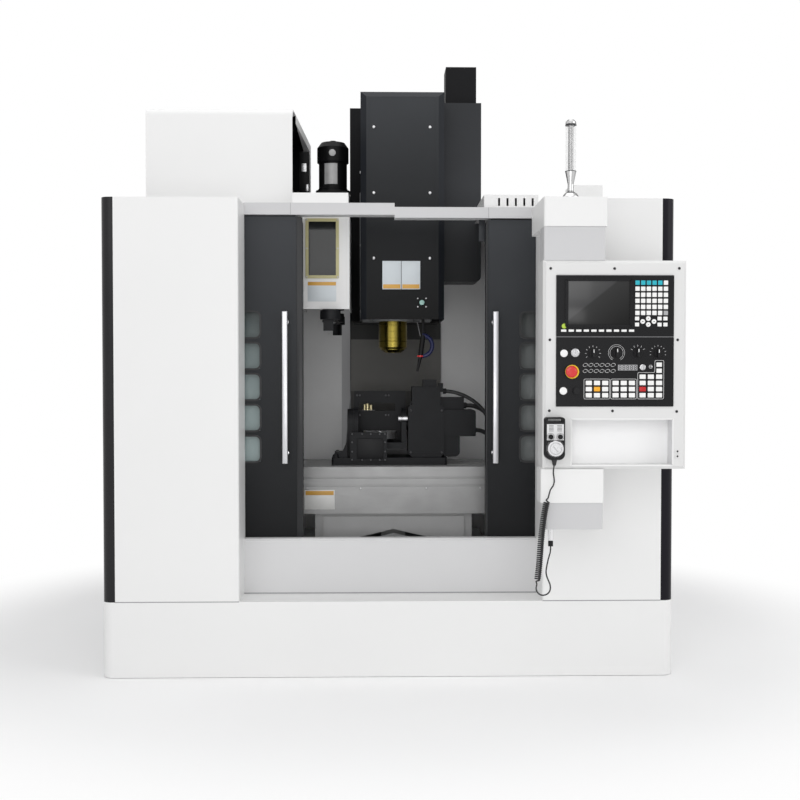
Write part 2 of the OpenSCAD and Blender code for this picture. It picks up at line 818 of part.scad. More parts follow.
module atc_drive() {
    y0 = work_y - 85;
    color("dimgray") {
        difference() {
            union() {
                post(arm_x - 65, arm_x + 70, y0, work_y + 85, cam_z0, cam_top, [12, 12, 12, 12]);
                rod_z(arm_x, work_y, atc_cover_z + 8, cam_z0, arm_sleeve_r + 16);
                // bracket to the column's side
                block(arm_x + 30, column_x0, work_y + 85, column_y, 1500, 1690);
                block(column_x0 - 30, column_x0, column_y, column_y + 200, 1480, 1710);
                // carrier of the tool disc
                block(disc_x + 30, arm_x - 65, work_y - 60, work_y + 60, disc_z - 90, cam_top - 10);
                block(disc_x + 14, disc_x + 30, work_y - 90, work_y + 90, disc_z - 100, disc_z + 100);
                rod_x(disc_x - 60, disc_x + 14, work_y, disc_z, 26);
            }
            rod_z(arm_x, work_y, atc_cover_z, 1560, arm_sleeve_r + shaft_gap);
        }
        // motor with flange, dome and cap
        rod_z(arm_x, work_y, cam_top, cam_top + 12, atc_motor_r + 6);
        rod_z(arm_x, work_y, cam_top + 12, cam_top + 130, atc_motor_r - 7);
        rod_z(arm_x, work_y, cam_top + 130, cam_top + 190, atc_motor_r);
        translate([arm_x, work_y, cam_top + 190]) cylinder(h = 22, r1 = atc_motor_r, r2 = atc_motor_r - 16);
        rod_z(arm_x, work_y, cam_top + 212, cam_top + 222, 13);
    }
}

module atc_shaft() {
    color("silver") difference() {
        rod_z(arm_x, work_y, arm_top + 0.4, 1548, arm_sleeve_r);
        rod_z(arm_x, work_y, arm_top, arm_top + arm_pin_l + 1, arm_pin_r + shaft_gap);
    }
}

module atc_hand() {
    // open gripper with its finger and the block under it, drawn at the origin
    difference() {
        union() {
            translate([0, 0, arm_z]) cylinder(h = arm_t, r = 42);
            translate([-28, -24, arm_z - 46]) cube([40, 30, 46]);
            translate([-14, -16, arm_z - 62]) cube([18, 18, 17]);
        }
        translate([0, 0, arm_z - 70]) cylinder(h = arm_t + 80, r = 23);
        translate([0, -16, arm_z - 70]) cube([60, 32, arm_t + 80]);
    }
}

module atc_arm() {
    color("dimgray") translate([arm_x, work_y, 0]) {
        difference() {
            union() {
                translate([0, 0, arm_z]) cylinder(h = arm_t, r = 46);
                for (a = [0, 180]) rotate(a) {
                    translate([-24, -arm_r + 34, arm_z]) cube([48, arm_r - 34, arm_t]);
                    translate([0, -arm_r, 0]) rotate(0) atc_hand();
                }
            }
            // weight-saving slots
            for (a = [0, 180]) rotate(a)
                translate([-9, -arm_r + 80, arm_z - 1]) cube([18, 90, arm_t + 2]);
        }
        translate([0, 0, arm_top]) cylinder(h = arm_pin_l, r = arm_pin_r);
    }
}

module magazine_disc() {
    color("silver") difference() {
        union() {
            rod_x(disc_x - disc_t, disc_x, work_y, disc_z, pot_ring_r + 8);
            rod_x(disc_x - disc_t - 26, disc_x + 10, work_y, disc_z, 60);
            for (k = [0:pots - 1])
                let (a = 90 + 360 * k / pots)
                rod_x(disc_x - disc_t - pot_l, disc_x - disc_t + 4,
                    work_y + pot_ring_r * cos(a), disc_z + pot_ring_r * sin(a), pot_r);
        }
        rod_x(disc_x - 80, disc_x + 20, work_y, disc_z, 26 + shaft_gap);
        for (k = [0:pots - 1])
            let (a = 90 + 360 * k / pots)
            translate([disc_x - disc_t - pot_l - e, work_y + pot_ring_r * cos(a),
                disc_z + pot_ring_r * sin(a)]) rotate([0, 90, 0])
                cylinder(h = 68, r1 = 22, r2 = 12);
    }
}

// Saddle and table

module rail_block_y(x) {
    // block that rides a Y rail
    difference() {
        block(x - 46, x + 46, saddle_y0, saddle_y0 + saddle_d, bed_top + 6, saddle_z + 2);
        block(x - rail_w / 2 - rail_gap, x + rail_w / 2 + rail_gap, saddle_y0 - 1,
            saddle_y0 + saddle_d + 1, bed_top, bed_top + rail_h + rail_gap);
    }
}

module saddle() {
    x0 = work_x - saddle_w / 2;
    x1 = work_x + saddle_w / 2;
    y1 = saddle_y0 + saddle_d;
    color("gray") {
        for (s = [-1, 1]) rail_block_y(work_x + s * y_rail_dx);
        difference() {
            block(x0, x1, saddle_y0, y1, saddle_z, saddle_top);
            // passage of the gable cover and of the Y screw
            along_y(saddle_y0 - 1, y1 + 1, [[work_x - gable_half - 6, saddle_z - 1],
                [work_x + gable_half + 6, saddle_z - 1], [work_x + gable_half + 6, gable_z + 8],
                [work_x, gable_z + gable_rise + 8], [work_x - gable_half - 6, gable_z + 8]]);
            // casting pockets in both ends
            for (x = [x0, x1 - 60], y = [saddle_y0 + 30, work_y + 20])
                block(x - 1, x + 61, y, y + 120, saddle_z + 30, saddle_top - 24);
        }
        // nut housing of the Y screw
        difference() {
            block(work_x - 50, work_x + 50, work_y - 60, work_y + 60, bed_top - 20, saddle_top - 60);
            rod_y(work_x, work_y - 61, work_y + 61, y_screw_z, screw_r + screw_gap);
        }
        // front wiper plate with the gable notch
        difference() {
            block(work_x - 287, work_x + 288, saddle_y0 - 12, saddle_y0, bed_top + 8, 532);
            along_y(saddle_y0 - 13, saddle_y0 + 1, [[work_x - gable_half - 3, bed_top],
                [work_x + gable_half + 3, bed_top], [work_x + gable_half + 3, gable_z + 3],
                [work_x, gable_z + gable_rise + 4], [work_x - gable_half - 3, gable_z + 3]]);
            for (s = [-1, 1])
                block(work_x + s * y_rail_dx - rail_w / 2 - 1, work_x + s * y_rail_dx + rail_w / 2 + 1,
                    saddle_y0 - 13, saddle_y0 + 1, bed_top, bed_top + rail_h + 1);
        }
        // four blocks that hold the table's rails
        difference() {
            for (a = [-1, 1], s = [-1, 1])
                translate([work_x + a * 75 - 45, work_y + s * x_rail_dy - 44, saddle_top])
                    cube([90, 88, table_under - 6 - saddle_top]);
            for (s = [-1, 1])
                block(work_x - 121, work_x + 121, work_y + s * x_rail_dy - rail_w / 2 - rail_gap,
                    work_y + s * x_rail_dy + rail_w / 2 + rail_gap, x_rail_z - rail_gap, table_under);
        }
        // nut of the X screw
        difference() {
            block(work_x - 28, work_x + 28, work_y - 38, work_y + 38, saddle_top, table_under - 8);
            rod_x(work_x - 29, work_x + 29, work_y, x_screw_z, screw_r + screw_gap);
        }
    }
}

module table() {
    x1 = table_x0 + table_l;
    y1 = table_y0 + table_d;
    color("silver") {
        difference() {
            union() {
                block(table_x0, x1, table_y0, y1, table_under, table_top);
                // apron
                block(table_x0, x1, table_y0, table_y0 + apron_t, apron_z, table_under);
            }
            // T-slots
            for (k = [-1, 0, 1]) {
                y = work_y + k * slot_pitch;
                block(table_x0 - 1, x1 + 1, y - slot_w / 2, y + slot_w / 2, table_top - slot_d, table_top + 1);
                block(table_x0 - 1, x1 + 1, y - slot_w / 2 - 6, y + slot_w / 2 + 6,
                    table_top - slot_d, table_top - slot_d + 12);
            }
            // coolant gutters at the front and back edge of the top
            for (y = [table_y0 + 12, y1 - 26])
                block(table_x0 + 12, x1 - 12, y, y + 14, table_top - 8, table_top + 1);
            // two long grooves in the front face
            block(table_x0 - 1, x1 + 1, table_y0 - 1, table_y0 + 6, table_top - 48, table_top - 40);
            block(table_x0 - 1, x1 + 1, table_y0 - 1, table_y0 + 5, table_under, table_under + 8);
        }
        // rails under the slab and the screw between its bearing blocks
        for (s = [-1, 1])
            block(table_x0 + 6, x1 - 6, work_y + s * x_rail_dy - rail_w / 2,
                work_y + s * x_rail_dy + rail_w / 2, x_rail_z, table_under);
        for (x = [table_x0, x1 - 30])
            block(x, x + 30, work_y - 45, work_y + 45, x_screw_z - 28, table_under);
        rod_x(table_x0 + 30, x1 - 30, work_y, x_screw_z, screw_r);
    }
}

module rotary_base() {
    x0 = work_x - 256;
    z0 = table_top;
    z1 = z0 + rot_base_t;
    box_x0 = work_x - 178;
    box_x1 = box_x0 + 152;
    box_y0 = work_y - 118;
    box_top = z0 + 136;
    color("dimgray") {
        difference() {
            union() {
                post(x0, drive_x1 + 10, work_y - 112, work_y + 105, z0, z1, [10, 10, 10, 10]);
                // tail support, round about the tilt axis
                block(tail_x0, tail_x1, work_y - 60, work_y + 60, z1, tilt_z);
                rod_x(tail_x0, tail_x1, work_y, tilt_z, 60);
                // stepped foot left of the tail support
                along_y(work_y - 100, work_y - 20, [[tail_x0 + 1, z1], [x0 + 16, z1], [x0 + 16, z1 + 24],
                    [x0 + 44, z1 + 24], [tail_x0 + 1, z1 + 70]]);
                // front box with its raised rim
                block(box_x0, box_x1, box_y0, work_y - 100, z1 - 14, box_top);
                block(box_x0 + 4, box_x1 - 4, work_y - 100, work_y - 92, z1, box_top - 6);
            }
            rod_x(tail_x0 - 1, tail_x1 + 1, work_y, tilt_z, 20 + shaft_gap);
            // recessed panel of the front box
            block(box_x0 + 26, box_x1 - 14, box_y0 - 1, box_y0 + 4, z1 - 6, box_top - 24);
            // slots for the clamping bolts
            for (y = [-1, 1])
                translate([x0 - 1, work_y + y * slot_pitch - 8, z0 - 1]) cube([34, 16, rot_base_t + 2]);
        }
        // clamping bolts in the outer T-slots
        for (s = [-1, 1]) {
            rod_z(x0 + 18, work_y + s * slot_pitch, table_top - 14, z1 + 18, 7);
            rod_z(x0 + 18, work_y + s * slot_pitch, z1, z1 + 4, 14);
            translate([x0 + 18, work_y + s * slot_pitch, z1 + 4]) cylinder(h = 10, r = 12, $fn = 6);
        }
    }
}

module rotary_drive() {
    c = 16;
    neck = 16;
    z1 = drive_top;
    color("dimgray") difference() {
        union() {
            // housing with a narrower neck and chamfered shoulders
            along_y(drive_y0, drive_y1, [[drive_x0 + c, drive_z0], [drive_x1 - c, drive_z0],
                [drive_x1, drive_z0 + c], [drive_x1, z1 - 84], [drive_x1 - neck, z1 - 74],
                [drive_x1 - neck, z1], [drive_x0 + neck, z1], [drive_x0 + neck, z1 - 74],
                [drive_x0, z1 - 84], [drive_x0, drive_z0 + c]]);
            // block and connector on top
            block(drive_x0 + 62, drive_x0 + 118, drive_y0 + 10, drive_y0 + 90, z1, z1 + 30);
            block(drive_x1 - neck - 8, drive_x1 - neck + 12, drive_y0 + 20, drive_y0 + 60, z1 - 22, z1 + 16);
            // motor housings on the right
            block(drive_x1 - neck, drive_x1 + 84, drive_y0 + 30, drive_y0 + 120, z1 - 96, z1 - 44);
            plate(drive_x1 - 1, drive_x1 + 132, drive_y0 + 8, drive_y1 - 10, z1 - 206, z1 - 96, [0, 4, 10, 0]);
            plate(drive_x1 - 1, drive_x1 + 66, drive_y0 + 16, drive_y1 - 30, drive_z0 + 2, z1 - 200, [0, 20, 0, 0]);
        }
        rod_x(drive_x0 - 1, drive_x0 + 60, work_y, tilt_z, tilt_shaft_r + shaft_gap);
    }
}

module rotary_cables() {
    r1 = 8;
    r2 = 9;
    post_x = table_x0 + table_l;
    y1 = work_y - 45;
    y2 = work_y - 5;
    y3 = work_y + 35;
    z1 = drive_top - 18;
    z2 = drive_top - 100;
    z3 = drive_top - 186;
    x1 = drive_x1 - 4;
    x2 = drive_x1 + 132;
    box_top = table_top + 28;
    top_x = post_x + 28;
    bend1 = top_x - x1;
    color("black") {
        // connection box on the table's right end
        block(post_x, post_x + 42, work_y - 80, work_y + 70, table_under + 10, box_top);
        // top cable: bend and drop
        cable_bend(x1, y1, z1, bend1, r1);
        rod_z(top_x, y1, box_top, z1 - bend1, r1);
        // middle cable from the motor's side
        rod_x(drive_x1 + 84, x2 - 30, y2, z2 + 12 + r2, r2);
        cable_bend(x2 - 30, y2, z2 + 12 + r2, top_x - x2 + 30, r2);
        rod_z(top_x, y2, box_top, z2 + 12 + r2 - (top_x - x2 + 30), r2);
        // lower cable
        rod_x(x2, x2 + 12, y3, z3, r2);
        cable_bend(x2 + 12, y3, z3, top_x - x2 - 12, r2);
        rod_z(top_x, y3, box_top, z3 - (top_x - x2 - 12), r2);
    }
}

module cradle() {
    plate_y0 = work_y + 72;
    plate_y1 = work_y + 96;
    slot_z = tilt_z + 48;
    color("dimgray") difference() {
        union() {
            for (x = [cheek_x0, cradle_x1]) {
                block(x, x + cheek_t, work_y - 62, work_y + 96, floor_z0, tilt_z);
                rod_x(x, x + cheek_t, work_y, tilt_z, 62);
            }
            block(cheek_x0, cheek_x1, work_y - 74, plate_y1, floor_z0, floor_z0 + 26);
            block(cheek_x0, cheek_x1, plate_y0, plate_y1, floor_z0, tilt_z + 134);
            rod_z((cradle_x0 + cradle_x1) / 2, work_y - 4, floor_z0 + 26, floor_z0 + 40, 50);
            // trunnions
            rod_x(tail_x0 + 2, cheek_x0 + 1, work_y, tilt_z, 20);
            rod_x(cheek_x1 - 1, drive_x0 + 50, work_y, tilt_z, tilt_shaft_r);
        }
        // slot across the back plate
        block(cheek_x0 + 20, cheek_x1 - 44, plate_y0 - 1, plate_y1 + 1, slot_z, slot_z + 36);
        rod_z((cradle_x0 + cradle_x1) / 2, work_y - 4, floor_z0 - 1, floor_z0 + 41, 20 + shaft_gap);
    }
}

module platter() {
    x = (cradle_x0 + cradle_x1) / 2;
    y = work_y - 4;
    color("silver") difference() {
        union() {
            rod_z(x, y, platter_z0, platter_z0 + platter_t, platter_r);
            rod_z(x, y, floor_z0 + 4, platter_z0, 20);
        }
        rod_z(x, y, platter_z0 + platter_t - platter_bore_d, platter_z0 + platter_t + 1, platter_bore_r);
        // radial T-slots
        for (a = [0, 90, 180, 270]) translate([x, y, platter_z0 + platter_t - 14]) rotate(a) {
            translate([platter_bore_r + 9, -5, 6]) cube([platter_r, 10, 12]);
            translate([platter_bore_r + 9, -9, 0]) cube([platter_r, 18, 6]);
        }
        translate([x, y, platter_z0 + platter_t - 1]) difference() {
            cylinder(h = 2, r = 50);
            translate([0, 0, -1]) cylinder(h = 4, r = 48.6);
        }
    }
}

// Head

module head_casting() {
    z0 = head_z + 6;
    mid = work_x + 19;
    color("dimgray") {
        difference() {
            union() {
                post(work_x - 95, work_x + 115, work_y - 110, 40, z0, z0 + 480, [60, 60, 0, 0]);
                block(mid - 150, mid + 150, 40, 262, z0, z0 + 420);
                along_x(mid - 120, mid + 120, [[40, z0 + 420], [40, z0 + 480], [262, z0 + 640], [262, z0 + 420]]);
                // carriage on the Z rails
                block(mid - carriage_dx, mid + carriage_dx, 262, column_y - 6, z0 + 12, z0 + 600);
                rod_z(work_x, work_y, z0 - 8.7, z0, 88);
                // spindle motor above the casting
                post(work_x - 70, work_x + 70, work_y - 70, work_y + 70, z0 + 480, z0 + 800, [14, 14, 14, 14]);
            }
            for (s = [-1, 1])
                block(mid + s * 140 - rail_w / 2 - rail_gap, mid + s * 140 + rail_w / 2 + rail_gap,
                    column_y - rail_h - rail_gap, column_y, z0, z0 + 601);
            rod_z(work_x, work_y, z0 - 10, z0 + 200, shaft_r + shaft_gap);
        }
        // coolant nozzle and hose before the spindle
        block(hose_x - 30, hose_x + 26, hose_y - 14, hose_y + 40, z0 - 4, z0 + 30);
        rod_z(hose_x, hose_y, head_z - 66, z0 - 4, 6);
        translate([hose_x, hose_y, head_z - 60]) rotate([0, 187, 0]) cylinder(h = 102, r = 9);
        translate([hose_x - 12, hose_y, head_z - 158]) rotate([0, 192, 0]) cylinder(h = 56, r1 = 7.5, r2 = 4);
        // blue hose bending out of it and back
        translate([hose_x - 5, hose_y, head_z - 106]) rotate([90, 0, 0]) rotate(-90)
            rotate_extrude(angle = 180) translate([40, 0]) circle(r = 5);
    }
}

module head_outline(inset) {
    b = head_bevel;
    translate([0, 0, head_z + inset]) linear_extrude(head_h - 2 * inset) polygon([
        [head_x0 + inset, head_y1 + 0], [head_x0 + inset, head_y0 + b],
        [head_x0 + b, head_y0 + inset], [head_x1 - b, head_y0 + inset],
        [head_x1 - inset, head_y0 + b], [head_x1 - inset, head_y1 + 0]]);
}

module head_cover() {
    t = sheet;
    b = head_bevel;
    color("darkslategray") {
        difference() {
            intersection() {
                head_outline(0);
                along_x(head_x0 - 1, head_x1 + 1, [[head_y0, head_z], [head_y0, head_top - b],
                    [head_y0 + b, head_top], [head_y1, head_top], [head_y1, head_z]]);
            }
            intersection() {
                translate([0, 0, -t - 1]) scale(1) head_outline(t);
                along_x(head_x0 - 1, head_x1 + 1, [[head_y0 - 1, head_z - 10], [head_y0 - 1, head_top - b - t],
                    [head_y0 + b, head_top - t], [head_y1 + 1, head_top - t], [head_y1 + 1, head_z - 10]]);
            }
        }
        // raised middle plate and the boss of the sight glass
        plate(work_x - 96, work_x + 168, head_y0 - 2, head_y0, head_z + 8, head_top - 30, [3, 3, 3, 3]);
        rod_y(work_x + 116, head_y0 - 6, head_y0 - 2, head_z + 68, 14);
        // back closing frame at the casting
        block(head_x0 + t, work_x - 96, 34, 40, head_z + 20, head_z + 440);
    }
}

module booster_box() {
    x0 = head_x1;
    y0 = work_y + 38;
    color("darkslategray") {
        difference() {
            plate(x0, booster_x1, y0, 60, head_z + 170, head_top, [0, 24, 0, 0]);
            block(x0 + sheet, booster_x1 - sheet, y0 + sheet, 61, head_z + 200, head_top - sheet);
        }
        block(x0 + 20, x0 + 150, y0 + 40, 60, head_top, head_top + 162);
    }
}

module z_cover() {
    z0 = head_z - 410;
    color("gray") {
        block(column_x0 + 5, column_x1 - 5, 263, 265, z0, head_z + 18);
        block(column_x0 + 5, column_x0 + 22, 262, 263, z0, head_z + 4);
        block(column_x1 - 22, column_x1 - 5, 262, 263, z0, head_z + 4);
        block(column_x0 + 22, column_x1 - 22, 150, 263, head_z + 3, head_z + 6);
    }
}

module spindle() {
    z0 = nose_z;
    color("gold") difference() {
        translate([work_x, work_y, 0]) rotate_extrude() polygon([[0, z0], [33, z0], [nose_r - 8, z0 + 12],
            [nose_r - 8, z0 + 14], [nose_r, z0 + 22], [nose_r, z0 + 46], [nose_r - 1.5, z0 + 47.5],
            [nose_r, z0 + 49], [nose_r, z0 + nose_h], [shaft_r, z0 + nose_h],
            [shaft_r, z0 + nose_h + 190], [0, z0 + nose_h + 190]]);
        translate([work_x, work_y, z0 - e]) cylinder(h = taper_d, r1 = taper_r, r2 = taper_r - taper_d * 7 / 48);
        translate([work_x, work_y, z0 + taper_d - 1]) cylinder(h = 60, r = 9);
        // slots of the driving keys
        translate([work_x - 34, work_y - 8, z0 - 1]) cube([14, 16, 9]);
        translate([work_x + 20, work_y - 8, z0 - 1]) cube([14, 16, 9]);
    }
}

// Doors

module leaf(x0, x1, top, win_x0, flip) {
    mid = door_y + door_t / 2;
    rr = flip ? [0, 0, 0, window_r] : [0, 0, window_r, 0];
    edge_rr = flip ? [0, 0, 0, 10] : [0, 0, 26, 0];
    difference() {
        union() {
            plate(x0, x1, door_y, door_back, door_z, top, edge_rr);
            block(x0 + 20, x1 - 30, mid - tongue_t / 2, mid + tongue_t / 2, top - 1, top + tongue_h);
        }
        for (k = [0:window_rows - 1])
            translate([0, 0, window_z + window_pitch * k]) {
                plate(win_x0, win_x0 + window_w, door_y - 1, door_back + 1, 0, window_h, rr);
                block(win_x0 - 8, win_x0 + window_w + 8, mid, mid + pane_t + 0.2, -8, window_h + 8);
                block(win_x0 - 8, win_x0 + window_w + 8, mid + pane_t, door_back + 1, -8, window_h + 8);
            }
    }
}

module door_handle(x) {
    y0 = door_y - 44;
    post(x, x + handle_w, y0, y0 + 16, handle_z, handle_z + handle_len, [5, 5, 5, 5]);
    for (z = [handle_z + 30, handle_z + handle_len - 30])
        rod_y(x + handle_w / 2, y0 + 16, door_y, z, 7);
}

module left_door() {
    x1 = left_edge;
    color("darkslategray") leaf(x1 - door_w, x1, left_door_top, x1 - window_in - window_w, false);
    color("white") door_handle(x1 - handle_in - handle_w);
}

module right_door() {
    x0 = right_edge;
    color("darkslategray") leaf(x0, x0 + door_w, right_door_top, x0 + window_in - 30, true);
    color("white") door_handle(x0 + 24);
}

module panes(x0) {
    mid = door_y + door_t / 2;
    color("lightgray", 0.5)
    for (k = [0:window_rows - 1])
        block(x0 - 7.7, x0 + window_w + 7.7, mid, mid + pane_t,
            window_z + window_pitch * k - 7.7, window_z + window_pitch * k + window_h + 7.7);
}

module left_windows() {
    panes(left_edge - window_in - window_w);
}

module right_windows() {
    panes(right_edge + window_in - 30);
}

// Rear cabinet

module control_cabinet() {
    x1 = cab_x0 + cabinet_w;
    color("gainsboro") {
        difference() {
            block(cab_x0, x1, cab_y0, cab_y1, cab_z0, cab_top);
            block(cab_x0 + 20, x1 - 20, cab_y0 + 20, cab_y1 + 1, cab_z0 + 20, cab_top - 20);
            // inlet of the mains cable in the right side
            rod_x(x1 - 21, x1 + 1, inlet_y, inlet_z, inlet_r);
        }
        // mounting plate with the drives
        block(cab_x0 + 20, x1 - 20, cab_y0 + 20, cab_y0 + 26, cab_z0 + 20, cab_top - 20);
        for (k = [0:3])
            block(cab_x0 + 90 + 170 * k, cab_x0 + 210 + 170 * k, cab_y0 + 26, cab_y0 + 200,
                cab_top - 520, cab_top - 150);
        // stand on the plinth and brackets to the column
        for (x = [cab_x0 + 40, x1 - 120])
            block(x, x + 80, cab_y0 + 30, cab_y1 - 30, plinth_top, cab_z0);
        for (z = [cab_z0 + 300, cab_z0 + 1100])
            block(work_x - 120, work_x + 158, column_y + column_d, cab_y0, z, z + 60);
        // fixed hinge knuckles
        for (z = [cab_z0 + 160, cab_top - 260])
            difference() {
                union() {
                    block(hinge_x - 11, hinge_x + 11, cab_y1 - 1, cab_y1 + 12, z, z + 40);
                    rod_z(hinge_x, cab_y1 + 12, z, z + 40, 11);
                }
                rod_z(hinge_x, cab_y1 + 12, z - 1, z + 41, hinge_r + shaft_gap);
            }
    }
}

module cabinet_door() {
    x0 = hinge_x + 14;
    x1 = cab_x0 + cabinet_w - 10;
    y1 = cab_y1 + 1 + cabinet_door_t;
    color("whitesmoke") {
        difference() {
            block(x0, x1, cab_y1 + 1, y1, cab_z0 + 10, cab_top - 10);
            // louvres
            for (k = [0:9], z = [cab_z0 + 90, cab_top - 330])
                block(x0 + 250, x1 - 250, y1 - 6, y1 + 1, z + 24 * k, z + 24 * k + 8);
        }
        // door side of the hinges with the pins
        for (z = [cab_z0 + 160, cab_top - 260]) {
            rod_z(hinge_x, cab_y1 + 12, z + 40.4, z + 78, 11);
            block(hinge_x, x0 + 1, cab_y1 + 1, cab_y1 + 23, z + 40.4, z + 78);
            rod_z(hinge_x, cab_y1 + 12, z + 2, z + 41, hinge_r);
        }
        // handle with its lock
        block(x1 - 60, x1 - 36, y1, y1 + 5, 1080, 1220);
    }
}

// Lamp, bracket and pendant

module signal_lamp() {
    z = bracket_z + bracket_h;
    x = swivel_x - 7;
    color("silver") {
        translate([x, swivel_y, z]) rotate_extrude() polygon([[0, 0], [29, 0], [29, 6], [20, 17],
            [10, 23], [9.7, 46], [9.7, 48], [18.5, 92], [18.5, 94], [9, 94], [9, 250],
            [18.5, 250], [18.5, 254], [17, 262], [10, 268], [0, 268]]);
        translate([x, swivel_y, z]) difference() {
            translate([0, 0, 94]) cylinder(h = 156, r = 18.5);
            translate([0, 0, 93]) cylinder(h = 158, r = 16);
        }
    }
}

module pendant_bracket() {
    x0 = pend_x0 + 3;
    color("white") difference() {
        post(x0, x0 + bracket_w, pend_y0 + 5, front_y, bracket_z, bracket_z + bracket_h, [8, 8, 0, 0]);
        rod_z(swivel_x, swivel_y, bracket_z - 1, bracket_z + 60, swivel_pin_r + shaft_gap);
    }
}

module pendant_arm() {
    color("lightgray") {
        post(neck_x0, neck_x0 + neck_w, neck_y0, neck_y0 + neck_d, pend_top, pend_top + neck_h, [6, 6, 6, 6]);
        rod_z(swivel_x, swivel_y, pend_top + neck_h, bracket_z + 55, swivel_pin_r);
        post(pend_x0 - 6, pend_x0 + 209, pend_y0 + 2, pend_y1 - 4, pendant_z - lower_box_h, pendant_z, [6, 6, 6, 6]);
        post(pend_x0 + 13, pend_x0 + 207, pend_y0 + 6, pend_y1 - 8,
            pendant_z - lower_box_h - lower_grey_h, pendant_z - lower_box_h, [6, 6, 6, 6]);
        // socket of the handset's plug
        difference() {
            rod_z(plug_x, plug_y, pendant_z - lower_box_h - lower_grey_h - socket_h,
                pendant_z - lower_box_h - lower_grey_h, socket_r);
            rod_z(plug_x, plug_y, pendant_z - lower_box_h - lower_grey_h - socket_h - 1,
                pendant_z - lower_box_h - lower_grey_h - 20, 6);
        }
    }
}

module pendant_box() {
    b = pendant_bevel;
    color("white") difference() {
        intersection() {
            translate([0, 0, pendant_z]) linear_extrude(pendant_h) polygon([[pend_x0 + b, pend_y0],
                [pend_x1 - b, pend_y0], [pend_x1, pend_y0 + b], [pend_x1, pend_y1],
                [pend_x0, pend_y1], [pend_x0, pend_y0 + b]]);
            along_x(pend_x0 - 1, pend_x1 + 1, [[pend_y0, pendant_z + b], [pend_y0, pend_top - b],
                [pend_y0 + b, pend_top], [pend_y1, pend_top], [pend_y1, pendant_z], [pend_y0 + b, pendant_z]]);
        }
        // seat of the two units and the room for the stems
        block(unit_x0 - 0.3, unit_x0 + unit_w + 0.3, pend_y0 - 1, pend_y0 + unit_t - unit_proud,
            control_z - 0.3, display_z + display_h + 0.3);
        block(unit_x0 + 10, unit_x0 + unit_w - 10, pend_y0 + 1, pend_y0 + 60, control_z + 10,
            display_z + display_h - 10);
        // pocket for papers
        block(pend_x0 + 99, pend_x1 - 47, pend_y0 - 1, pend_y0 + pocket_d, 805, 958);
    }
    // socket plates beside the pocket
    color("silver") for (z = [828, 845])
        block(pend_x1 - 36, pend_x1 - 22, pend_y0 - 3, pend_y0, z, z + 11);
}

module key_field(x0, z0, cols, rows, px, pz, w, h) {
    for (i = [0:cols - 1], j = [0:rows - 1])
        block(x0 + px * i - w / 2, x0 + px * i + w / 2, unit_y0 - 2, unit_y0,
            z0 - pz * j - h / 2, z0 - pz * j + h / 2);
}

module display_unit() {
    color("black") difference() {
        union() {
            plate(unit_x0, unit_x0 + unit_w, unit_y0, unit_y0 + unit_t, display_z + 0.2,
                display_z + display_h, [4, 4, 4, 4]);
            // bezel of the screen
            plate(unit_x0 + 34, unit_x0 + 254, unit_y0 - 4, unit_y0, display_z + 33, display_z + 196, [5, 5, 5, 5]);
            // softkeys under the screen and the key pad beside it
            key_field(unit_x0 + 25, display_z + 21, 10, 1, 25.6, 0, 17, 7);
            key_field(unit_x0 + 275, display_z + 183, 6, 6, 19.3, 20.4, 14, 14);
            for (x = [0, 38.3, 76.6, 96.5])
                key_field(unit_x0 + 274 + x, display_z + 62, 1, 2, 0, 20.2, 13, 12);
            key_field(unit_x0 + 293, display_z + 52, 2, 1, 38.5, 0, 13, 12);
        }
        block(unit_x0 + 40, unit_x0 + 248, unit_y0 - 5, unit_y0 - 2, display_z + 40, display_z + 190);
    }
}

module ring(p, r0, r1, t) {
    // flat ring around a control, standing on the unit's face
    difference() {
        rod_y(p[0], unit_y0 - t, unit_y0, p[1], r1);
        rod_y(p[0], unit_y0 - t - 1, unit_y0 + 1, p[1], r0);
    }
}

module control_unit() {
    color("black") difference() {
        union() {
            plate(unit_x0, unit_x0 + unit_w, unit_y0, unit_y0 + unit_t, control_z,
                control_z + control_h - 0.2, [4, 4, 4, 4]);
            for (p = [POS_START, POS_STOP]) ring(p, button_r + 0.6, button_r + 3, 5);
            for (p = [POS_KEY, POS_MODE, POS_FEED, POS_SPINDLE, POS_RAPID])
                ring(p, knob_r + 1, knob_r + 7, 1.5);
            // three key groups and the row of lamps
            key_field(673, 1083, 3, 3, 27.8, 20.8, 20, 14.5);
            key_field(764, 1083, 3, 3, 27.8, 20.8, 20, 14.5);
            key_field(856, 1104, 3, 4, 28, 20.8, 20, 14.5);
            key_field(912, 1145, 1, 2, 0, 20.6, 18, 14);
            key_field(661, 1144, 6, 2, 18.9, 20.4, 11, 8);
            plate(772, 837, unit_y0 - 3, unit_y0, 1126, 1144, [2, 2, 2, 2]);
        }
        for (p = STEM_HOLES)
            rod_y(p[0], unit_y0 - 1, unit_y0 + unit_t + 1, p[1], stem_r + stem_gap);
        rod_y(POS_ESTOP[0], unit_y0 - 1, unit_y0 + unit_t + 1, POS_ESTOP[1], estop_stem_r + stem_gap);
    }
}

// Push button: cap before the panel and stem through it
module push_button(p, r, shade) {
    color(shade) {
        rod_y(p[0], unit_y0 - button_travel - 7, unit_y0 - button_travel - cap_seat, p[1], r);
        rod_y(p[0], unit_y0 - button_travel - cap_seat, unit_y0 + stem_l, p[1], stem_r);
    }
}

// Turning knob: round skirt, grip bar and stem
module turn_knob(p, r, shade) {
    color(shade) {
        rod_y(p[0], unit_y0 - 6, unit_y0 - cap_seat, p[1], r);
        translate([p[0], 0, p[1]]) block(-4, 4, unit_y0 - 18, unit_y0 - 6, -r + 1, r - 1);
        rod_y(p[0], unit_y0 - cap_seat, unit_y0 + stem_l, p[1], stem_r);
    }
}

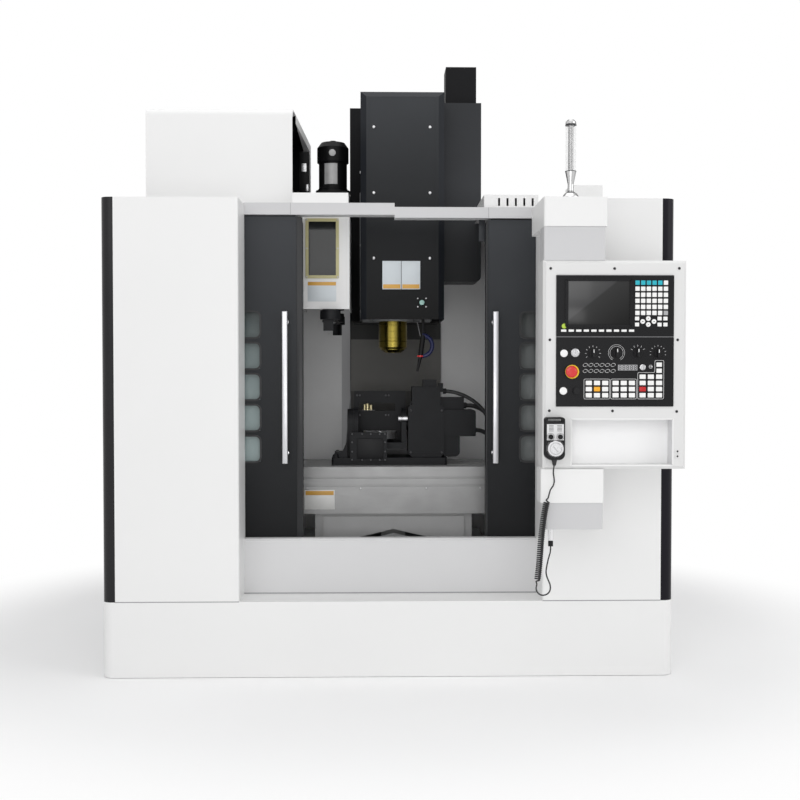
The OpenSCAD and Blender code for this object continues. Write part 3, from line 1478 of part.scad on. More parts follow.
// Key lock: barrel, key and stem
module key_lock(p, r) {
    color("silver") {
        rod_y(p[0], unit_y0 - 6, unit_y0 - cap_seat, p[1], r);
        translate([p[0], 0, p[1]]) block(-1.2, 1.2, unit_y0 - 26, unit_y0 - 6, -8, 8);
        rod_y(p[0], unit_y0 - cap_seat, unit_y0 + stem_l, p[1], stem_r);
    }
}

module emergency_stop() {
    p = POS_ESTOP;
    color("red") {
        translate([p[0], unit_y0 - 16, p[1]]) rotate([90, 0, 0]) rotate_extrude() polygon([[0, 0],
            [16, 0], [20, 3], [20, 7], [17, 11], [10, 13.5], [0, 14]]);
        rod_y(p[0], unit_y0 - 16, unit_y0 + stem_l, p[1], estop_stem_r);
    }
}
module start_button() { push_button(POS_START, button_r, "white"); }
module stop_button() { push_button(POS_STOP, button_r, "white"); }
module reset_button() { push_button(POS_RESET, button_r, "dimgray"); }
module mode_selector() { turn_knob(POS_MODE, knob_r, "dimgray"); }
module feed_override() { turn_knob(POS_FEED, knob_r, "dimgray"); }
module spindle_override() { turn_knob(POS_SPINDLE, knob_r, "dimgray"); }
module rapid_override() { turn_knob(POS_RAPID, knob_r, "dimgray"); }
module key_switch() { key_lock(POS_KEY, 12); }
module program_key() { key_lock(POS_PROGRAM, 8); }

module toggle_switch() {
    p = POS_TOGGLE;
    color("silver") {
        rod_x(p[0] - 3, p[0] + 3, unit_y0 + 4, p[1], 3.4);
        rod_y(p[0], unit_y0 - 14, unit_y0 + 4, p[1], 2);
    }
}

// Handset

module handset() {
    x0 = hand_x - handset_w / 2;
    x1 = hand_x + handset_w / 2;
    y0 = hand_y0;
    color("black") difference() {
        union() {
            plate(x0, x1, y0, hand_y1, hand_z0, hand_z0 + handset_h, [20, 20, 10, 10]);
            // raised plate with the scale
            plate(x0 + 4, x1 - 4, y0 - 1, y0, hand_z0 + 66, hand_z0 + 121, [3, 3, 3, 3]);
            // magnet foot on the pendant
            rod_y(hand_x, hand_y1, pend_y0, hand_z0 + 110, 12);
            // strain relief
            rod_z(hand_x, cord_y, hand_z0 - 14, hand_z0, 6);
        }
        // slot of the carrying grip
        block(x0 + 8, x1 - 8, y0 - 2, hand_y1 + 1, hand_z0 + handset_h - 14, hand_z0 + handset_h - 5);
        rod_y(hand_x, y0 - 1, y0 + 20, dial_z, 6 + stem_gap);
        for (s = [-1, 1])
            rod_y(hand_x + s * knob_dx, y0 - 2, y0 + 14, knob_z, hand_stem_r + stem_gap);
        rod_z(hand_x, cord_y, hand_z0 - 15, hand_z0, cable_d / 2 + 0.02);
    }
}

module handset_dial() {
    color("silver") {
        rod_y(hand_x, hand_y0 - dial_t, hand_y0 - cap_seat, dial_z, dial_r);
        rod_y(hand_x, hand_y0 - cap_seat, hand_y0 + 18, dial_z, 6);
        rod_y(hand_x + 15, -1150, hand_y0 - dial_t, dial_z + 8, 4);
    }
}

module small_knob(s) {
    x = hand_x + s * knob_dx;
    color("dimgray") {
        rod_y(x, hand_y0 - 10, hand_y0 - 1 - cap_seat, knob_z, 8);
        translate([x, 0, knob_z]) block(-1.5, 1.5, hand_y0 - 12, hand_y0 - 10, -7, 7);
        rod_y(x, hand_y0 - 1 - cap_seat, hand_y0 + 12, knob_z, hand_stem_r);
    }
}
module handset_axis_knob() { small_knob(-1); }
module handset_step_knob() { small_knob(1); }

// Cord

module cord_leads() {
    color("black") {
        swept_tube(LEAD_TOP, cable_d, 8);
        swept_tube(LEAD_END, cable_d, 8);
    }
}

module cord_coil() {
    color("black") swept_tube(COIL_LINE, coil_d, 12);
}

module cord_plug() {
    color("dimgray") {
        rod_z(plug_x, plug_y, plug_z + 6, plug_z + 40, 5.9);
        rod_z(plug_x, plug_y, plug_z, 540, 8.6);
    }
}

levelling_feet();
base_plinth();
bed_casting();
column_casting();
left_front_panel();
right_front_panel();
corner_posts();
lower_front_panel();
enclosure_walls();
door_header();
magazine_cover();
atc_cover();
atc_window();
atc_drive();
slotted_cover();
control_cabinet();
signal_lamp();
pendant_bracket();
cabinet_door();
saddle();
table();
rotary_base();
rotary_drive();
rotary_cables();
cradle();
platter();
head_casting();
head_cover();
booster_box();
z_cover();
spindle();
atc_shaft();
atc_arm();
magazine_disc();
left_door();
left_windows();
right_door();
right_windows();
pendant_arm();
pendant_box();
display_unit();
control_unit();
handset();
handset_dial();
handset_axis_knob();
handset_step_knob();
emergency_stop();
start_button();
stop_button();
reset_button();
mode_selector();
feed_override();
spindle_override();
rapid_override();
key_switch();
program_key();
toggle_switch();
cord_leads();
cord_coil();
cord_plug();
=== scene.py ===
# %% [markdown]
# # A machining centre, dressed in Blender
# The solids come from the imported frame, already true in shape and size.
# This lesson gives every surface its finish, adds the small pieces that a
# solid model leaves out, and lights the machine like a catalogue picture.

# %% Load the frame
import json
import math
import bmesh
import bpy
from mathutils import Matrix, Vector


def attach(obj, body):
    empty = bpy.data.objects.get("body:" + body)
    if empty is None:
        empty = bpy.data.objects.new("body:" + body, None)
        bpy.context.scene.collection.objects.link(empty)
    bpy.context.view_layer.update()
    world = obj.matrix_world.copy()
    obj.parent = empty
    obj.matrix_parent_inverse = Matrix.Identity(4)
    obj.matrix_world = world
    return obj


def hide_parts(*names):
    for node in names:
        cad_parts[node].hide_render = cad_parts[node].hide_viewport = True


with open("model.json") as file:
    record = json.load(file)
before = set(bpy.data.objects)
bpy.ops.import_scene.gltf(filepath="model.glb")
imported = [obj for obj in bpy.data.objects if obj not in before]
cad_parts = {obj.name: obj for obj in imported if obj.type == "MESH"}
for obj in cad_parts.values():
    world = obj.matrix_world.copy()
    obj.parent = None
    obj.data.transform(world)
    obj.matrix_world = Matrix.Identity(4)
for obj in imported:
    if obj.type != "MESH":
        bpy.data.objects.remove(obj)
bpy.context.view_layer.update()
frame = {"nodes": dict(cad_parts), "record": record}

nodes = frame["nodes"]

# %% [markdown]
# ## Camera
# The picture was taken from about the operator's chest height, four metres
# away and a little left of the middle. A normal lens without blur and without
# shift keeps the verticals almost parallel, as they are in the picture.

# %% Camera
def add_object(name, data):
    """A new object of the scene."""
    obj = bpy.data.objects.new(name, data)
    bpy.context.scene.collection.objects.link(obj)
    return obj

def add_camera(place, yaw, pitch, lens):
    data = bpy.data.cameras.new("camera")
    data.lens = lens
    data.sensor_width = 36.0
    data.clip_start = 0.05
    cam = add_object("camera", data)
    cam.location = place
    cam.rotation_euler = (math.radians(90 - pitch), 0.0, math.radians(-yaw))
    bpy.context.scene.camera = cam
    return cam

camera = add_camera((-0.044, -4.823, 1.120), yaw=1.19, pitch=1.45, lens=49.73)
print("camera at", tuple(camera.location))

# %% [markdown]
# ## Coiled cord of the handset
# A curly cord is a helix of thin cable. Its straight leads hang from the
# handset and turn up again to a plug. One open curve follows the whole route,
# so that it has the real length: the coil's turns lie almost side by side.

# %% Route of the cord
CORD_Y = -1.117
lead_top = [(553, 825), (553, 809), (551, 795), (550, 780), (552, 765), (553, 751),
            (550, 738), (545, 730), (540, 722), (535, 704)]
coil_line = [(535, 704), (525, 668), (518, 630), (513, 590), (509, 550), (506, 510),
             (503, 470), (499, 432), (494, 397)]
lead_end = [(494, 397, 0), (493, 390, 0), (495, 380, 0), (502, 371, 0), (513, 366, 0),
            (527, 368, 0), (537, 376, 0), (541, 388, 0), (540, 402, 0), (535, 415, 1),
            (530, 428, 4), (528, 442, 10), (531, 456, 20), (536, 470, 32), (541, 482, 44),
            (546, 492, 54), (550, 501, 62), (552, 511, 67), (552, 522, 67)]

def metres(p):
    """A point of the route in metres; a third number moves it back."""
    return Vector((p[0] / 1000, CORD_Y + (p[2] if len(p) > 2 else 0) / 1000, p[1] / 1000))

def smooth_line(points, per_span):
    """A Catmull-Rom line through the points."""
    line = []
    for i in range(len(points) - 1):
        a, b = points[max(i - 1, 0)], points[i]
        c, d = points[i + 1], points[min(i + 2, len(points) - 1)]
        for k in range(per_span):
            t = k / per_span
            line.append(0.5 * ((2 * b) + (c - a) * t + (2 * a - 5 * b + 4 * c - d) * t * t
                               + (3 * b - a - 3 * c + d) * t ** 3))
    return line + [points[-1]]

def ease(t):
    t = min(max(t, 0.0), 1.0)
    return t * t * (3 - 2 * t)

EASED_TURNS, STRETCH = 1.25, 5.0

def helix_round(line, turns, radius, per_turn):
    """A helix whose middle follows the line; its first and last turns are stretched."""
    lengths = [0.0]
    for p, q in zip(line, line[1:]):
        lengths.append(lengths[-1] + (q - p).length)
    total, out, n = lengths[-1], [], turns * per_turn
    opened = [ease(min(k, n - k) / per_turn / EASED_TURNS) for k in range(n + 1)]
    steps = [0.0]
    for k in range(n):
        steps.append(steps[-1] + STRETCH - (STRETCH - 1) * opened[k])
    seg = 0
    for k in range(n + 1):
        s = total * steps[k] / steps[-1]
        while seg < len(line) - 2 and lengths[seg + 1] < s:
            seg += 1
        t = (s - lengths[seg]) / (lengths[seg + 1] - lengths[seg])
        middle = line[seg].lerp(line[seg + 1], min(max(t, 0), 1))
        along = (line[seg + 1] - line[seg]).normalized()
        side = along.cross(Vector((0, 1, 0))).normalized()
        front = along.cross(side)
        a = 2 * math.pi * k / per_turn
        r = radius * opened[k]
        out.append(middle + side * (r * math.cos(a)) + front * (r * math.sin(a)))
    return out

CABLE, COIL, COIL_TURNS = 0.005, 0.023, 42
route = smooth_line([metres(p) for p in lead_top], 3)[:-1]
route += helix_round(smooth_line([metres(p) for p in coil_line], 6), COIL_TURNS,
                     (COIL - CABLE) / 2 - 0.0002, 14)[:-1]
route += smooth_line([metres(p) for p in lead_end], 3)

# %% Cord as one tube
def add_tube(name, points, diameter):
    """A round tube along the points: a bevelled curve, kept as a mesh."""
    data = bpy.data.curves.new(name + "_line", "CURVE")
    data.dimensions = "3D"
    data.bevel_depth = diameter / 2
    data.bevel_resolution = 2
    data.use_fill_caps = True
    spline = data.splines.new("POLY")
    spline.points.add(len(points) - 1)
    for point, place in zip(spline.points, points):
        point.co = (*place, 1.0)
    line = bpy.data.objects.new(name + "_line", data)
    mesh = bpy.data.meshes.new_from_object(line)
    mesh.name = name
    mesh.shade_smooth()
    bpy.data.objects.remove(line)
    bpy.data.curves.remove(data)
    return add_object(name, mesh)

cord = add_tube("handset_cord", route, CABLE)
print("cord", len(cord.data.polygons), "faces")
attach(cord, "pendant")
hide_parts("cord_leads", "cord_coil")

# %% [markdown]
# ## Finishes
# Each paint, casting and plastic is a small node tree. Noise on Object
# coordinates varies the colour by a few percent and the gloss a little more,
# and a fine bump gives the paint its skin. Constants stay on the shader.
# Some paints and panes also carry painted shade, a grey that follows the height.

# %% Helpers for materials
looks = {}
SKIN_DISTANCE = 0.0003

def node_material(name):
    """A new material, kept by its name: its tree, shader and coordinates."""
    mat = looks[name] = bpy.data.materials.new(name)
    mat.use_nodes = True
    tree = mat.node_tree
    return tree, shader_of(name), tree.nodes.new("ShaderNodeTexCoord")

def shader_of(name):
    return looks[name].node_tree.nodes["Principled BSDF"]

def put(node, **values):
    """Fills inputs by name, with _ for a space: an output is linked, the rest are constants."""
    for name, value in values.items():
        entry = node.inputs[name.replace("_", " ")]
        if isinstance(value, bpy.types.NodeSocket):
            node.id_data.links.new(value, entry)
        else:
            entry.default_value = value

def add_node(tree, kind, **values):
    node = tree.nodes.new("ShaderNode" + kind)
    put(node, **values)
    return node

def noise(tree, coord, scale, detail=3.0, stretch=None):
    source = coord.outputs["Object"]
    if stretch:
        source = add_node(tree, "Mapping", Scale=stretch, Vector=source).outputs["Vector"]
    return add_node(tree, "TexNoise", Scale=scale, Detail=detail, Vector=source).outputs["Fac"]

def ramp(tree, value, stops):
    node = add_node(tree, "ValToRGB", Fac=value)
    elements = node.color_ramp.elements
    while len(elements) < len(stops):
        elements.new(0.5)
    for element, (position, colour) in zip(elements, stops):
        element.position = position
        element.color = (*colour, 1.0)
    return node.outputs["Color"]

def map_range(tree, value, low, high, to_low=0.0, to_high=1.0):
    """Maps a value from one range to another."""
    return add_node(tree, "MapRange", Value=value, From_Min=low, From_Max=high,
                    To_Min=to_low, To_Max=to_high)

def spread(tree, value, low, high):
    """Maps the middle of a noise to a range."""
    return map_range(tree, value, 0.3, 0.7, low, high).outputs["Result"]

def maths(tree, operation, *values, clamp=False):
    """Joins values and plain numbers by an operation."""
    node = tree.nodes.new("ShaderNodeMath")
    node.operation, node.use_clamp = operation, clamp
    for socket, value in zip(node.inputs, values):
        if isinstance(value, float):
            socket.default_value = value
        else:
            tree.links.new(value, socket)
    return node.outputs["Value"]

def mix_colours(tree, blend, **values):
    node = tree.nodes.new("ShaderNodeMix")
    node.data_type, node.blend_type = "RGBA", blend
    put(node, **values)
    return node.outputs["Result"]

def painted_shade_by_height(tree, coord, colour, shade_heights):
    """Paints shade into a colour: multiplies it by a grey that follows the height in metres."""
    parts = add_node(tree, "SeparateXYZ", Vector=coord.outputs["Object"])
    lowest, highest = shade_heights[0][0], shade_heights[-1][0]
    level = map_range(tree, parts.outputs["Z"], lowest, highest).outputs["Result"]
    grey = ramp(tree, level, [((z - lowest) / (highest - lowest), (g, g, g)) for z, g in shade_heights])
    return mix_colours(tree, "MULTIPLY", Factor=1.0, A=colour, B=grey)

def finish(name, colour, rough, vary, patch, depth, metal=0.0, skin=700.0, gloss=0.5, coat=0.0,
           stretch=None, shade_heights=None):
    """A finish by its colour, roughness, share of variation, patches per metre and the
    depth of its skin; gloss is the strength of its reflections."""
    tree, shader, coord = node_material(name)
    low = tuple(max(0.0, c * (1 - vary)) for c in colour)
    high = tuple(min(1.0, c * (1 + vary)) for c in colour)
    patches = ramp(tree, noise(tree, coord, patch, 4.0), [(0.3, low), (0.7, high)])
    # Painted shade: a list of heights with greys darkens the colour by height.
    if shade_heights:
        patches = painted_shade_by_height(tree, coord, patches, shade_heights)
    fine = noise(tree, coord, skin, 2.0, stretch)
    put(shader, Base_Color=patches, Roughness=spread(tree, fine, rough - 0.05, rough + 0.05),
        Metallic=metal, Specular_IOR_Level=gloss, Coat_Weight=coat)
    if depth:
        node = add_node(tree, "Bump", Strength=depth, Distance=SKIN_DISTANCE, Height=fine)
        put(shader, Normal=node.outputs["Normal"])

# %% Paints, castings, metals and plastics
# name, colour, roughness, variation, patches per metre, depth of the skin
finish("white_paint", (0.815, 0.815, 0.81), 0.38, 0.012, 1.5, 0.1)
finish("pendant_paint", (0.72, 0.72, 0.715), 0.38, 0.012, 1.5, 0.1)
# A brighter copy of the white paint for the pocket's back wall: painted light against its shade.
finish("pocket_painted_light", (0.93, 0.93, 0.93), 0.38, 0.012, 1.5, 0.1)
finish("light_grey_paint", (0.575, 0.575, 0.583), 0.42, 0.02, 2.0, 0.12)
finish("lower_panel_paint", (0.655, 0.655, 0.66), 0.42, 0.02, 2.0, 0.12)
# Painted shade: the inner walls grow darker towards the top of the enclosure.
finish("inner_paint", (0.93, 0.93, 0.93), 0.45, 0.05, 2.5, 0.12,
       shade_heights=[(0.5, 1.0), (1.0, 1.0), (1.4, 0.74), (1.75, 0.66)])
# Painted light and shade: the dark paint is brightest at about 1.75 m and much darker low down.
finish("dark_paint", (0.049, 0.052, 0.057), 0.38, 0.06, 3.0, 0.12, gloss=0.12,
       shade_heights=[(0.45, 0.12), (1.0, 0.45), (1.75, 1.0), (2.3, 0.75)])
# Painted light and shade: the head is bright near its top and almost black at its foot.
finish("head_paint", (0.060, 0.064, 0.070), 0.38, 0.06, 3.0, 0.12, gloss=0.12,
       shade_heights=[(1.33, 0.04), (1.6, 0.20), (1.9, 0.36), (2.25, 0.70)])
# Painted shade: the z cover is dark below 1.03 m and nearly black above 1.27 m, where it lies in
# shade.
finish("cover_paint", (0.175, 0.171, 0.160), 0.45, 0.06, 5.0, 0.1, gloss=0.25,
       shade_heights=[(0.92, 0.30), (1.03, 0.36), (1.035, 0.9), (1.266, 1.0), (1.272, 0.10),
                (1.36, 0.08)])
# Painted light and shade: the booster box is darker low down.
finish("side_paint", (0.030, 0.032, 0.036), 0.42, 0.08, 3.0, 0.12, gloss=0.2,
       shade_heights=[(1.5, 0.3), (1.9, 1.0), (2.3, 0.8)])
finish("saddle_paint", (0.40, 0.40, 0.40), 0.42, 0.10, 5.0, 0.2, metal=0.2, skin=260)
finish("post_paint", (0.015, 0.0145, 0.016), 0.3, 0.1, 3.0, 0.06, gloss=0.22)
finish("motor_black", (0.004, 0.004, 0.0045), 0.4, 0.1, 20.0, 0.2, gloss=0.12)
# A near-black finish that the tints put on faces in shade: painted shade.
finish("hollow_black", (0.010, 0.010, 0.011), 0.6, 0.1, 6.0, 0.1, gloss=0.1)
finish("rotary_black", (0.011, 0.0115, 0.013), 0.45, 0.15, 9.0, 0.35, skin=420, gloss=0.16)
finish("machine_grey", (0.22, 0.225, 0.23), 0.5, 0.08, 5.0, 0.3, skin=350)
finish("table_grey", (0.33, 0.33, 0.33), 0.42, 0.10, 6.0, 0.2, metal=0.35, skin=260,
       stretch=(0.06, 1.0, 1.0))
finish("steel", (0.55, 0.55, 0.56), 0.30, 0.08, 12.0, 0.1, metal=0.9, skin=500)
finish("brass", (0.28, 0.22, 0.045), 0.22, 0.12, 14.0, 0.08, metal=1.0, skin=300,
       stretch=(1.0, 1.0, 4.0))
finish("chrome", (0.78, 0.78, 0.79), 0.14, 0.03, 20.0, 0.02, metal=1.0)
finish("black_plastic", (0.010, 0.010, 0.011), 0.45, 0.1, 20.0, 0.25, gloss=0.2)
finish("gloss_black", (0.008, 0.008, 0.009), 0.28, 0.1, 10.0, 0.03, gloss=0.2)
finish("white_plastic", (0.80, 0.80, 0.78), 0.3, 0.02, 20.0, 0.05)
finish("red_plastic", (0.62, 0.020, 0.018), 0.25, 0.06, 30.0, 0.05, coat=0.3)
finish("cord_rubber", (0.014, 0.014, 0.015), 0.5, 0.1, 40.0, 0.2)
print(len(looks), "finishes")

# %% [markdown]
# ## Glass
# The door panes are grey-green safety glass in front of a dim room. A little
# transmission lets the room through, and the coloured base keeps them readable.
# Their base colour carries painted light and shade: lighter low down, darker upwards.

# %% Glass
def glass(name, colour, clear, rough):
    """Tinted glass by its colour, its share of clear light and its roughness."""
    tree, shader, coord = node_material(name)
    put(shader, Base_Color=(*colour, 1.0), Transmission_Weight=clear, IOR=1.45,
        Roughness=spread(tree, noise(tree, coord, 6.0), rough * 0.7, rough * 1.3))

def pane(name, colour, shade_heights):
    """Safety glass with painted light: its base colour is lighter low down, where the room behind
    is pale, and darker upwards.
    """
    glass(name, colour, 0.2, 0.08)
    tree = looks[name].node_tree
    coord = tree.nodes["Texture Coordinate"]
    patches = ramp(tree, noise(tree, coord, 5.0),
                   [(0.3, tuple(c * 0.95 for c in colour)), (0.7, colour)])
    put(shader_of(name), Base_Color=painted_shade_by_height(tree, coord, patches, shade_heights))

# Painted light and shade: both panes are lighter low down and darker upwards.
pane("left_glass", (0.43, 0.53, 0.53), [(0.77, 1.0), (1.0, 0.85), (1.2, 0.55), (1.36, 0.12)])
pane("pane_glass", (0.19, 0.205, 0.205), [(0.77, 0.9), (1.1, 1.0), (1.36, 0.35)])
glass("smoked_glass", (0.02, 0.022, 0.022), 0.3, 0.08)
print(len(looks), "finishes with the glass")

# %% Dress the CAD nodes
slots = {s["node"]: s["material_slot"] for s in frame["record"]["subparts"]}
by_slot = {"screen_black": "gloss_black", "window_glass": "pane_glass",
           "tinted_glass": "smoked_glass"}
by_node = {"head_cover": "head_paint", "booster_box": "side_paint", "z_cover": "cover_paint",
           "saddle": "saddle_paint", "left_windows": "left_glass", "pendant_box": "pendant_paint",
           "lower_front_panel": "lower_panel_paint", "atc_drive": "motor_black"}
for name, obj in nodes.items():
    look = by_node.get(name, by_slot.get(slots[name], slots[name]))
    obj.data.materials.clear()
    obj.data.materials.append(looks[look])
cord.data.materials.append(looks["cord_rubber"])
print("dressed", len(nodes), "nodes,", len(by_node), "with a finish of their own")

# %% [markdown]
# ## Two finishes on one solid
# Some solids carry two finishes, such as a grey inner wall behind a white
# skin. The faces that lie inside a box get the second material, and the mesh
# itself stays as it came from the frame.
# Several second finishes below are painted light and shade: brighter or darker copies on faces by
# where shade falls.

# %% Tint faces of a solid
def tint(node, look, low, high, facing=None):
    """Gives a finish to the faces whose middle lies between two corners in millimetres."""
    mesh = nodes[node].data
    mesh.materials.append(looks[look])
    count = 0
    for face in mesh.polygons:
        middle = face.center * 1000
        inside = all(a <= c <= b for a, c, b in zip(low, middle, high))
        if inside and (facing is None or face.normal.dot(Vector(facing)) > 0.7):
            face.material_index = len(mesh.materials) - 1
            count += 1
    print(node, count, "faces in", look)

# %% Finishes for parts of a solid
finish("way_steel", (0.20, 0.20, 0.205), 0.38, 0.10, 5.0, 0.15, metal=0.5, skin=200,
       stretch=(1.0, 1.0, 0.08))
finish("blue_plastic", (0.005, 0.009, 0.065), 0.35, 0.08, 40, 0.05)
# A darker copy of the post paint for the right post: painted shade.
finish("post_painted_shade", (0.008, 0.007, 0.011), 0.32, 0.1, 3.0, 0.06, gloss=0.15)
# A greyer copy of the white paint for a pocket wall: painted shade.
finish("pocket_wall_painted_shade", (0.70, 0.70, 0.71), 0.42, 0.02, 2.0, 0.1)
finish("olive_frame", (0.50, 0.46, 0.24), 0.4, 0.06, 12, 0.08)
# Dark paint for the lamp's seals, and painted shade on the head cover's bevels.
finish("seal_black_and_edge_shade", (0.016, 0.018, 0.022), 0.4, 0.06, 3.0, 0.1, gloss=0.12)
finish("lamp_metal", (0.56, 0.56, 0.56), 0.16, 0.05, 30, 0.02, metal=1.0)
# A near-black specular tint darkens the grazing reflections at the lamp's edges: painted shade.
put(shader_of("lamp_metal"), Specular_Tint=(0.02, 0.02, 0.02, 1.0))
finish("lamp_stem", (0.30, 0.30, 0.30), 0.2, 0.05, 30, 0.02, metal=1.0)
glass("clear_tube", (0.90, 0.90, 0.90), 0.0, 0.06)
put(shader_of("clear_tube"), Alpha=0.12)

# %% Second finishes
tint("enclosure_walls", "inner_paint", (-744, -545, 280), (839, 294, 1752))
tint("pendant_arm", "white_paint", (500, -1095, 674), (740, -980, 791))
tint("door_header", "white_paint", (-370, -620, 1763), (-150, -490, 1805))
tint("atc_cover", "olive_frame", (-330, -397, 1490), (-190, -390.5, 1735))
tint("head_casting", "black_plastic", (100, -300, 1115), (190, -200, 1336))
tint("head_casting", "blue_plastic", (138, -264, 1180), (190, -252, 1275))
tint("signal_lamp", "lamp_metal", (585, -1070, 1712), (653, -1000, 1985))
tint("signal_lamp", "clear_tube", (595, -1060, 1808), (643, -1010, 1962))
tint("signal_lamp", "lamp_stem", (608, -1046, 1808), (630, -1024, 1962))
tint("column_casting", "way_steel", (-170, 260, 555), (255, 275, 1085))
# Painted shade: the column behind the head and the inside of the magazine cover are painted near
# black.
tint("column_casting", "hollow_black", (-175, 320, 1085), (260, 770, 2345))
tint("magazine_cover", "hollow_black", (-949, -437, 1757), (-378, 177, 2138))
# Painted shade: the top and side bevels of the head cover get a darker paint.
for facing in ((0, -0.486, 0.874), (-0.9, -0.436, 0), (0.9, -0.436, 0)):
    tint("head_cover", "seal_black_and_edge_shade", (-400, -700, 1300), (400, 300, 2424), facing)
# Painted shade: the right corner post gets the darker copy of its paint.
tint("corner_posts", "post_painted_shade", (950, -800, 270), (1051, -700, 1760))
# Painted light: the pocket's back wall gets the brighter copy of the paint.
tint("pendant_box", "pocket_painted_light", (610, -1089, 800), (965, -1000, 963), (0, -1, 0))
# Painted shade: the pocket's ceiling, which faces down, gets a grey paint.
tint("pendant_box", "light_grey_paint", (610, -1089, 950), (965, -1000, 963), (0, 0, -1))
# Painted shade on the pocket's right inner wall, which faces left.
tint("pendant_box", "pocket_wall_painted_shade", (950, -1089, 800), (965, -1000, 962), (-1, 0, 0))
tint("pendant_arm", "chrome", (540, -1070, 541), (566, -1030, 583))
# Painted shade: part of the booster box is painted near black.
tint("booster_box", "hollow_black", (225, -110, 2263), (402, 64, 2430))

# %% [markdown]
# ## Helpers for small pieces
# Every added piece starts from a bmesh primitive or a short profile that is
# spun. Edges get a small bevel, because an edge without one catches no light.
# Each piece keeps its place in its mesh and rides on the body that carries it.

# %% Piece helpers
MM = 0.001
SHARP_ANGLE = math.radians(35)

def mesh_of(bm, name):
    mesh = bpy.data.meshes.new(name)
    bm.to_mesh(mesh)
    bm.free()
    return mesh

def add_piece(name, bm, look, body):
    """Turns the mesh into a piece that rides on a body, and prints where it lies."""
    bmesh.ops.recalc_face_normals(bm, faces=bm.faces)
    mesh = mesh_of(bm, name)
    mesh.shade_smooth()
    mesh.set_sharp_from_angle(angle=SHARP_ANGLE)
    mesh.materials.append(looks[look])
    obj = add_object(name, mesh)
    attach(obj, body)
    low, high = [[round(f(v.co[i] for v in mesh.vertices) / MM) for i in range(3)]
                 for f in (min, max)]
    print(name, len(mesh.polygons), "faces on", body, "from", low, "to", high)

def at(x, y, z):
    """The matrix that moves to a place in millimetres."""
    return Matrix.Translation(Vector((x, y, z)) * MM)

def swing(angle, axis):
    """The matrix that turns by an angle in degrees about an axis."""
    return Matrix.Rotation(math.radians(angle), 4, axis)

def round_point(x, y, radius, angle):
    """A point on a circle in millimetres, by its angle in degrees."""
    return x + radius * math.cos(math.radians(angle)), y + radius * math.sin(math.radians(angle))

def block(bm, low, high, bevel=0.0, segments=2):
    """A box between two corners in millimetres, with its edges broken."""
    size = [(b - a) * MM for a, b in zip(low, high)]
    middle = Vector([(a + b) / 2 * MM for a, b in zip(low, high)])
    made = bmesh.ops.create_cube(bm, size=1.0, matrix=Matrix.Translation(middle)
                                 @ Matrix.Diagonal((*size, 1.0)))
    if bevel:
        edges = {e for v in made["verts"] for e in v.link_edges}
        bmesh.ops.bevel(bm, geom=list(edges), offset=bevel * MM, segments=segments,
                        profile=0.5, affect="EDGES", material=-1)

TURNS = {"Z": Matrix.Identity(4), "-Z": Matrix.Rotation(math.pi, 4, "X"),
         "-Y": swing(90, "X"), "Y": swing(-90, "X"), "X": swing(90, "Y"), "-X": swing(-90, "Y")}

def turned(bm, profile, place, axis="-Y", steps=32):
    """Spins a profile of (radius, height) pairs in millimetres about an axis."""
    before = set(bm.verts)
    verts = [bm.verts.new((r * MM, 0.0, h * MM)) for r, h in profile]
    edges = [bm.edges.new(pair) for pair in zip(verts, verts[1:])]
    bmesh.ops.spin(bm, geom=verts + edges, cent=(0, 0, 0), axis=(0, 0, 1), dvec=(0, 0, 0),
                   angle=2 * math.pi, steps=steps, use_merge=True, use_duplicate=False)
    bmesh.ops.remove_doubles(bm, verts=[v for v in bm.verts if v not in before], dist=1e-7)
    bmesh.ops.transform(bm, matrix=at(*place) @ TURNS[axis],
                        verts=[v for v in bm.verts if v not in before])

def rod(bm, start, end, radius, end_radius=None, sides=20, overlap=1.0):
    """A round bar or a cone between two points in millimetres."""
    a, b = Vector(start) * MM, Vector(end) * MM
    turn = (b - a).to_track_quat("Z", "Y").to_matrix().to_4x4()
    bmesh.ops.create_cone(bm, cap_ends=True, segments=sides, radius1=radius * MM,
                          radius2=(end_radius or radius) * MM, depth=(b - a).length * overlap,
                          matrix=Matrix.Translation((a + b) / 2) @ turn)

def lift(bm, made, move):
    """Moves what an extrusion made."""
    bmesh.ops.translate(bm, verts=[g for g in made["geom"] if isinstance(g, bmesh.types.BMVert)],
                        vec=Vector(move) * MM)

def outline(bm, corners, y, radius, width, rise):
    """A thin raised line along the edge of a flat shape on a front face."""
    before = set(bm.faces)
    face = bm.faces.new([bm.verts.new((x * MM, y * MM, z * MM)) for x, z in corners])
    if radius:
        bmesh.ops.bevel(bm, geom=list(face.verts), offset=radius * MM, segments=4, profile=0.5,
                        affect="VERTICES", material=-1)
    bm.normal_update()
    inner = [f for f in bm.faces if f not in before]
    strip = bmesh.ops.inset_region(bm, faces=inner, thickness=width * MM, use_even_offset=True,
                                   use_boundary=True)["faces"]
    bmesh.ops.delete(bm, geom=inner, context="FACES_ONLY")
    lift(bm, bmesh.ops.extrude_face_region(bm, geom=strip), (0, -rise, 0))

def rectangle(x0, x1, z0, z1):
    return [(x0, z0), (x1, z0), (x1, z1), (x0, z1)]

def screw(bm, place, radius, axis="-Y"):
    """A button-head screw with its socket."""
    turned(bm, [(0, radius * 0.22), (radius * 0.45, radius * 0.22), (radius * 0.5, radius * 0.62),
                (radius * 0.85, radius * 0.42), (radius, 0.0)], place, axis, 16)

def piece(name, look, body, make, *shapes):
    """One piece from shapes of one kind: make is block, turned, screw and so on."""
    bm = bmesh.new()
    for shape in shapes:
        make(bm, *shape)
    add_piece(name, bm, look, body)

# %% [markdown]
# ## Front of the pendant
# The operator's panel is where the eye goes first. Real keys are separate
# caps that stand a little proud, so each is its own small bevelled block.
# Their colours are spread as on the real panel, and nothing is lettered.

